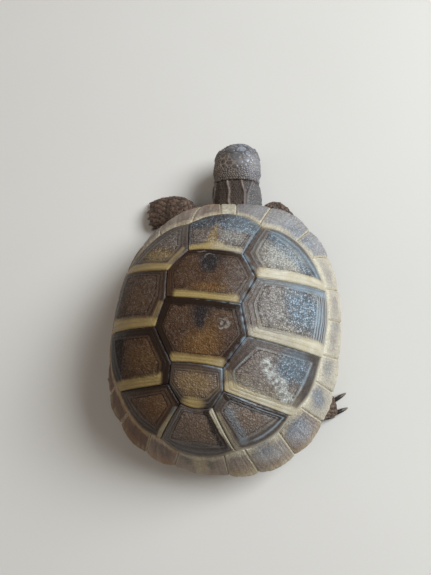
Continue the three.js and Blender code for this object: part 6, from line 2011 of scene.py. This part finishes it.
SHIELDS = []
for side in (-1, 1):
    SHIELDS += [(6.75, side * 1.12, 2.15), (5.45, side * 2.75, 1.50), (6.95, side * 3.05, 1.10), (3.95, side * 2.65, 1.25),
                (3.35, side * 1.15, 1.20), (2.75, side * 2.35, 0.90), (8.05, side * 0.72, 1.05), (8.00, side * 1.95, 0.90)]
SHIELDS += [(4.85, 0.15, 2.40), (2.45, 0.1, 1.0)]
placed = [head_place(a, b) + (w * 0.92,) for a, b, w in SHIELDS]
for side in (-1, 1):
    placed += [side_place(2.9, 6.15, side) + (1.7,), side_place(4.25, 6.5, side) + (0.95,), side_place(4.5, 7.6, side) + (0.8,)]
placed = np.array(placed)
u_nape = float(np.interp(34.62, HEAD_I["y"][:, 0], head.U))
u_tip = float(head.U[-1]) - 0.45


def upper_line(al):
    return 6.02 + 0.42 * smooth(6.8, 9.2, al)


def keep_head(u, t):
    q = head_lookup(u, t)
    e = np.hypot((q["along"] - EYE_ALONG) / 1.00, (q["up"] - EYE_UP) / 0.76)
    ok = ~((e < 1.36) & (np.abs(q["c"]) > 0.3))
    horn = (q["along"] > 5.2) & (q["up"] < upper_line(q["along"])) & (q["up"] > mouth_height(q["along"]) - 0.95)
    gape = (q["along"] > 4.3) & (np.abs(q["up"] - mouth_height(q["along"])) < 0.16)
    nose = (q["along"] > 8.3) & (np.hypot((np.abs(q["right"]) - 0.60) / 0.46, (q["up"] - 6.98) / 0.36) < 1)
    return ok & ~horn & ~gape & ~nose


rows_h = rows_of_seeds(head, u_nape, u_tip, lambda u: mix(0.44, 0.64, smooth(u_nape + 0.8, u_nape + 5, u)), 11, keep_head, jitter=0.34)
C_h = head.girth(rows_h[:, 0])
far = np.ones(len(rows_h), bool)
for u, t, w in placed:
    dv = rows_h[:, 1] - t
    dv = (dv - np.round(dv)) * C_h
    far &= np.hypot(rows_h[:, 0] - u, dv) > 0.5 * w + 0.22
rows_h = rows_h[far]
lids = []
for side in (-1, 1):
    for k in range(22):
        a = 2 * math.pi * k / 22
        u, t = side_place(EYE_ALONG + 1.21 * 1.00 * math.cos(a), EYE_UP + 1.21 * 0.75 * math.sin(a), side)
        lids.append((u, t, 0.27))
head_seeds = np.concatenate([placed, rows_h, np.array(lids)])
tall = np.concatenate([np.full(len(placed), 0.085), np.full(len(rows_h), 0.075), np.full(len(lids), 0.05)])
granules = scale_mesh(head, head_seeds, tall, gap=0.022, dirs=10, rings=(1.0, 0.86, 0.5), profile=(0.0, 0.72, 1.0), sharp=9.0,
                      limit=0.72, seed=3, lean=0.0, peak=1.06)
shields = join_scales("scales_head", [granules], head_scale_mat)

u0 = float(np.interp(27.0, HEAD_I["y"][:, 0], head.U))
neck_seeds = rows_of_seeds(head, u0, u_nape - 0.42, 0.46, 12, lambda u, t: head_lookup(u, t)["fold"] < 0.07, jitter=0.34)
neck_group = scale_mesh(head, neck_seeds, 0.045, gap=0.02, dirs=6, rings=(1.0, 0.62), profile=(0.0, 0.85), seed=4, limit=0.68)
join_scales("scales_neck", [neck_group], neck_scale_mat)


# ---- limbs ----
def limb_scales(name, seed, big, fine, knee, lean):
    tb = tubes[name]
    end = float(tb.U[-1])

    def size(u):
        return mix(fine, big, smooth(knee * end, (knee + 0.25) * end, u))

    S = rows_of_seeds(tb, 0.12 * end, end - 0.35, size, seed, jitter=0.22)
    # flatter ones underneath
    below = np.sin(2 * math.pi * S[:, 1])
    high = 0.05 + 0.045 * smooth(-0.3, 0.5, below)
    return scale_mesh(tb, S, high, gap=0.02, dirs=8, rings=(1.0, 0.84, 0.45), profile=(0.0, 0.72, 1.0), lean=lean, stretch=0.22,
                      limit=0.85, seed=seed + 1, sharp=6.0)


join_scales("scales_front_legs", [limb_scales("leg_front_left", 21, 1.02, 0.58, 0.25, 0.18),
                                  limb_scales("leg_front_right", 22, 1.02, 0.58, 0.25, 0.18)], limb_scale_mat)
join_scales("scales_hind_legs", [limb_scales("leg_hind_left", 23, 0.90, 0.65, 0.35, 0.14),
                                 limb_scales("leg_hind_right", 24, 0.90, 0.65, 0.35, 0.14)], limb_scale_mat)
tb = tubes["tail"]
tail_seeds = rows_of_seeds(tb, 0.15 * tb.U[-1], tb.U[-1] - 0.3, lambda u: mix(0.66, 0.42, u / tb.U[-1]), 31, jitter=0.12)
tail_group = scale_mesh(tb, tail_seeds, 0.06, gap=0.02, dirs=8, lean=0.16, stretch=0.15, seed=32)
tr = tubes["trunk"]
trunk_seeds = rows_of_seeds(tr, float(tr.U[9]), float(tr.U[-5]), 0.72, 33, jitter=0.3)
tz = tr.at(trunk_seeds[:, 0], trunk_seeds[:, 1])[0][:, 2]
trunk_group = scale_mesh(tr, trunk_seeds[(tz < 11.5) & (tz > 2.2)], 0.05, gap=0.015, dirs=6, rings=(1.0, 0.62), profile=(0.0, 0.85), seed=34, limit=0.68)
join_scales("scales_tail", [tail_group], limb_scale_mat)
join_scales("scales_trunk", [trunk_group], neck_scale_mat)


# ------------------------------------------------------------------ beak, claws, eyes
def patch_from_tube(tube, mask, raised, depth=0.14):
    """A solid piece over part of a tube: outer layer at tube + raised, inner layer sunk by depth."""
    r, c = tube.rows, tube.cols
    on = mask.reshape(r, c)
    jn = (np.arange(c) + 1) % c
    cell = on[:-1, :] & on[1:, :] & on[:-1, jn] & on[1:, jn]
    ii, jj = np.nonzero(cell)
    a, b, cc, d = ii * c + jj, ii * c + jn[jj], (ii + 1) * c + jn[jj], (ii + 1) * c + jj
    quads = np.stack([a, b, cc, d], 1)
    outer = (tube.P + tube.N * raised.reshape(r, c)[..., None]).reshape(-1, 3)
    inner = (tube.P - tube.N * depth).reshape(-1, 3)
    used = np.unique(quads)
    index = np.full(r * c, -1)
    index[used] = np.arange(len(used))
    Q = index[quads]
    n = len(used)
    edges = np.concatenate([Q[:, [0, 1]], Q[:, [1, 2]], Q[:, [2, 3]], Q[:, [3, 0]]])
    key = edges[:, 0].astype(np.int64) * n + edges[:, 1]
    back = edges[:, 1].astype(np.int64) * n + edges[:, 0]
    rim = edges[~np.isin(key, back)]
    walls = np.stack([rim[:, 1], rim[:, 0], rim[:, 0] + n, rim[:, 1] + n], 1)
    pts = np.concatenate([outer[used], inner[used]])
    faces = np.concatenate([Q, Q[:, ::-1] + n, walls])
    U = np.repeat(tube.U, c)[used]
    T = np.tile(np.arange(c) / c, r)[used]
    if signed_volume(pts, faces, np.zeros((0, 3), int)) < 0:
        faces = faces[:, ::-1]
    return pts, faces, np.concatenate([U, U]), np.concatenate([T, T]), used, close_pole(tube, index, on, n, pts, faces)


def close_pole(tube, index, on, n, pts, faces):
    """Triangles and two points that close the end of a tube, where the piece covers all of it."""
    r, c = tube.rows, tube.cols
    if not on[-1].all():
        return np.zeros((0, 3), int), np.zeros((0, 3))
    ring = index[(r - 1) * c + np.arange(c)]
    nxt = np.roll(ring, -1)
    mids = np.stack([pts[ring].mean(0), pts[ring + n].mean(0)])
    top, low = len(pts), len(pts) + 1
    out = np.concatenate([np.stack([ring, nxt, np.full(c, top)], 1), np.stack([nxt + n, ring + n, np.full(c, low)], 1)])
    edge = np.concatenate([faces[:, [0, 1]], faces[:, [1, 2]], faces[:, [2, 3]], faces[:, [3, 0]]])
    same = ((edge[:, 0] == ring[0]) & (edge[:, 1] == nxt[0])).any()
    return (out[:, ::-1] if same else out), mids


def beak_material():
    m = Tree("beak_horn")
    fine = m.noise(0.22, 4, 0.6)
    streak = m.attr("streak")
    c = m.mix(m.ramp(m.noise(1.2, 3, 0.6), 0.35, 0.65), srgb(62, 50, 37), srgb(94, 78, 56))
    c = m.mix(m.math("MULTIPLY", m.ramp(streak, 0.35, 0.9), 0.75), c, srgb(42, 34, 27))
    c = m.mix(m.math("MULTIPLY", m.ramp(m.attr("edge"), 0.4, 1.0), 0.6), c, srgb(136, 120, 88))
    n = m.bump(m.math("ADD", fine, m.math("MULTIPLY", streak, 0.6)), 0.03, 0.8)
    return m.done(c, m.ramp(fine, 0.3, 0.7, 0.26, 0.44), n, specular=0.55)


beak_mat = beak_material()
al, zz = HEAD_I["along"], HEAD_I["up"]
mh = mouth_height(al)
for nm, low_line, high_line in (("beak_upper", mh + 0.02, upper_line(al)), ("beak_lower", mh - 0.95, mh - 0.05)):
    shape = smooth(0.0, 0.14, zz - low_line) * smooth(0.0, 0.22, high_line - zz) * smooth(5.0, 5.7, al)
    on = (zz > low_line - 0.10) & (zz < high_line + 0.14) & (al > 4.9)
    if nm == "beak_upper":
        on[-1] = True
    ridges = 0.5 + 0.5 * np.cos(HEAD_I["a"] * 34 + 2.0 * np.sin(al * 1.3))
    raised = -0.07 + 0.20 * shape + 0.012 * ridges * shape
    pts, quads, U, T, used, (fan, mids) = patch_from_tube(head, on, raised)
    more = len(mids)
    pts, U, T = np.concatenate([pts, mids]), np.concatenate([U, U[-1:].repeat(more)]), np.concatenate([T, T[-1:].repeat(more)])
    streak = clip(noise(pts * [2.4, 2.4, 0.7], 0.9, 51) * 0.5 + 0.5)
    edge_pale = np.exp(-((zz - (mh + (0.18 if nm == "beak_upper" else -0.2))) / 0.16) ** 2).ravel()[used]
    edge_pale = np.concatenate([edge_pale, edge_pale, np.zeros(more)])
    pc = make_mesh(nm, pts, quads, fan if more else None, {"streak": streak, "edge": edge_pale}, uv=head.uv(U, T), material=beak_mat)


def claw_material():
    m = Tree("claw_horn")
    t = m.attr("length")
    fine = m.noise(0.18, 3, 0.6)
    c = m.mix(m.ramp(m.math("ADD", t, m.math("MULTIPLY", m.math("SUBTRACT", fine, 0.5), 0.3)), 0.45, 1.0), srgb(38, 31, 27), srgb(128, 112, 90))
    c = m.mix(m.math("MULTIPLY", m.ramp(m.attr("streak"), 0.4, 0.9), 0.4), c, srgb(28, 23, 20))
    n = m.bump(m.math("ADD", fine, m.attr("streak")), 0.02, 0.8)
    return m.done(c, m.ramp(fine, 0.3, 0.7, 0.24, 0.42), n, specular=0.55)


claw_mat = claw_material()


def claw_points(right, forward, up, heading, length, radius=0.5, seed=0, rows=22, cols=20):
    c_, s_ = math.cos(heading * DEG), math.sin(heading * DEG)
    t = np.linspace(-0.35, 1.0, rows)
    k = np.where(t < 0.3, mix(1.0, 0.92, (t + 0.35) / 0.65), 0.92 * np.sqrt(np.maximum(1 - ((t - 0.3) / 0.7) ** 1.7, 0.0)) ** 1.15)
    k = np.maximum(k, 0.05)
    r = radius * k
    z0 = np.maximum(r + 0.02, up - np.where(t > 0, t * t * 0.75, 0))
    z0 = np.where(t > 0.97, np.maximum(0.06, up - 0.8), z0)
    a = 2 * math.pi * np.arange(cols) / cols
    ridge = 1 + 0.035 * np.cos(a * 5)[None] * smooth(0.95, 0.4, t)[:, None] + 0.02 * np.sin(t * 26 + seed)[:, None]
    w = r[:, None] * np.cos(a)[None] * 0.92 * ridge
    h = r[:, None] * np.sin(a)[None] * np.where(np.sin(a) > 0, 1.06, 0.86)[None] * ridge
    X = right + t[:, None] * c_ * length - w * s_
    Y = forward + t[:, None] * s_ * length + w * c_
    Z = np.maximum(z0[:, None] + h, 0.03)
    pts = np.stack([X, Y, Z], -1).reshape(-1, 3)
    tip = np.array([[right + c_ * length * 1.02, forward + s_ * length * 1.02, max(0.08, up - 0.82)]])
    root = pts[:cols].mean(0, keepdims=True)
    pts = np.concatenate([pts, root, tip])
    quads = grid_faces(rows, cols, wrap=True)
    j = np.arange(cols)
    n = rows * cols
    tris = np.concatenate([np.stack([(j + 1) % cols, j, np.full(cols, n)], 1),
                           np.stack([(rows - 1) * cols + j, (rows - 1) * cols + (j + 1) % cols, np.full(cols, n + 1)], 1)])
    if signed_volume(pts, quads, tris) < 0:
        quads, tris = quads[:, ::-1], tris[:, ::-1]
    L = np.concatenate([np.repeat(t, cols), [-0.4, 1.0]])
    S = np.concatenate([np.tile(0.5 + 0.5 * np.cos(a * 7 + seed), rows), [0.5, 0.5]])
    u = np.concatenate([np.repeat((t + 0.35) / 1.35, cols), [0, 1]])
    v = np.concatenate([np.tile(np.arange(cols) / cols, rows), [0.5, 0.5]])
    return pts, quads, tris, L, S, np.stack([u, v], 1)


def foot_claws(name, stations_, claws, length, flip):
    (x0, y0), (x1, y1) = stations_[-2][:2], stations_[-1][:2]
    z1 = stations_[-1][2]
    heading = math.atan2(y1 - y0, x1 - x0)
    c_, s_ = math.cos(heading), math.sin(heading)
    V, Q, T3, L, S, UVs, base = [], [], [], [], [], [], 0
    for k, (ahead, over, turn) in enumerate(claws):
        if flip:
            over, turn = -over, -turn
        pts, quads, tris, l_, s2, uv_ = claw_points(x1 + c_ * ahead - s_ * over, y1 + s_ * ahead + c_ * over, z1 * 0.75,
                                                    heading / DEG + turn, length * (1 + 0.04 * math.sin(3 * k)), seed=k)
        V.append(pts)
        Q.append(quads + base)
        T3.append(tris + base)
        L.append(l_)
        S.append(s2)
        UVs.append(uv_ * [0.16, 0.8] + [0.02 + 0.19 * k, 0.1])
        base += len(pts)
    ob = make_mesh(name, np.concatenate(V), np.concatenate(Q), np.concatenate(T3), {"length": np.concatenate(L), "streak": np.concatenate(S)},
                   uv=np.concatenate(UVs), material=claw_mat)


foot_claws("claws_front_left", FRONT_LEFT, FRONT_CLAWS, 2.0, False)
foot_claws("claws_front_right", FRONT_RIGHT, FRONT_CLAWS, 2.0, True)
foot_claws("claws_hind_right", HIND_RIGHT, HIND_CLAWS, 2.6, False)
foot_claws("claws_hind_left", HIND_LEFT, HIND_CLAWS, 2.6, True)


def eye_material():
    m = Tree("eye_wet")
    out = m.attr("off_axis")
    fine = m.noise(0.12, 3, 0.6)
    spoke = m.attr("spoke")
    iris = m.mix(m.ramp(m.math("ADD", spoke, m.math("MULTIPLY", fine, 0.5)), 0.4, 1.1), srgb(30, 20, 13), srgb(66, 47, 29))
    c = m.mix(m.ramp(out, 15.5, 17.5), srgb(6, 5, 5), iris)
    c = m.mix(m.ramp(out, 35.0, 40.0), c, srgb(24, 19, 16))
    n = m.bump(fine, 0.004, 0.3)
    return m.done(c, m.ramp(fine, 0.0, 1.0, 0.05, 0.09), n, specular=0.6, coat=1.0, coat_rough=0.03)


eye_mat = eye_material()
for side, nm in ((1, "eye_right"), (-1, "eye_left")):
    al_, rt_ = EYE_ALONG, side * (HW * 0.845 - EYE_RADIUS * 0.88)
    centre = np.array([-0.9 + rt_ * HC + al_ * HS, NAPE - rt_ * HS + al_ * HC, EYE_UP])
    axis = np.array([side * HC + 0.22 * HS, -side * HS + 0.22 * HC, 0.16])
    axis /= np.linalg.norm(axis)
    ux = np.cross([0, 0, 1.0], axis)
    ux /= np.linalg.norm(ux)
    uy = np.cross(axis, ux)
    rows, cols = 60, 72
    ph = np.linspace(0.004, math.pi - 0.004, rows)
    th = 2 * math.pi * np.arange(cols) / cols
    deg = ph / DEG
    rad = (EYE_RADIUS - 0.03) * (1 + 0.05 * smooth(42, 10, deg) - 0.012 * np.exp(-((deg - 42) / 4.0) ** 2))
    pts = (centre + rad[:, None, None] * (np.cos(ph)[:, None, None] * axis + np.sin(ph)[:, None, None]
                                          * (np.cos(th)[None, :, None] * ux + np.sin(th)[None, :, None] * uy)))
    pts = pts.reshape(-1, 3)
    pts = np.concatenate([pts, pts[:cols].mean(0, keepdims=True), pts[-cols:].mean(0, keepdims=True)])
    quads = grid_faces(rows, cols, wrap=True)
    j = np.arange(cols)
    n = rows * cols
    tris = np.concatenate([np.stack([(j + 1) % cols, j, np.full(cols, n)], 1),
                           np.stack([(rows - 1) * cols + j, (rows - 1) * cols + (j + 1) % cols, np.full(cols, n + 1)], 1)])
    if signed_volume(pts, quads, tris) < 0:
        quads, tris = quads[:, ::-1], tris[:, ::-1]
    off = np.concatenate([np.repeat(deg, cols), [0, 180]])
    spoke = np.concatenate([np.tile(0.5 + 0.5 * np.cos(th * 23) * np.cos(th * 7 + 1), rows), [0.5, 0.5]])
    rr = np.concatenate([np.repeat(ph / math.pi, cols), [0, 1]]) * 0.48
    tt = np.concatenate([np.tile(th, rows), [0, 0]])
    uv_ = np.stack([0.5 + rr * np.cos(tt), 0.5 + rr * np.sin(tt)], 1)
    ob = make_mesh("ball_" + nm, pts, quads, tris, {"off_axis": off, "spoke": spoke}, uv=uv_, material=eye_mat)
    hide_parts(nm)

# ------------------------------------------------------------------ update the view layer
bpy.context.view_layer.update()
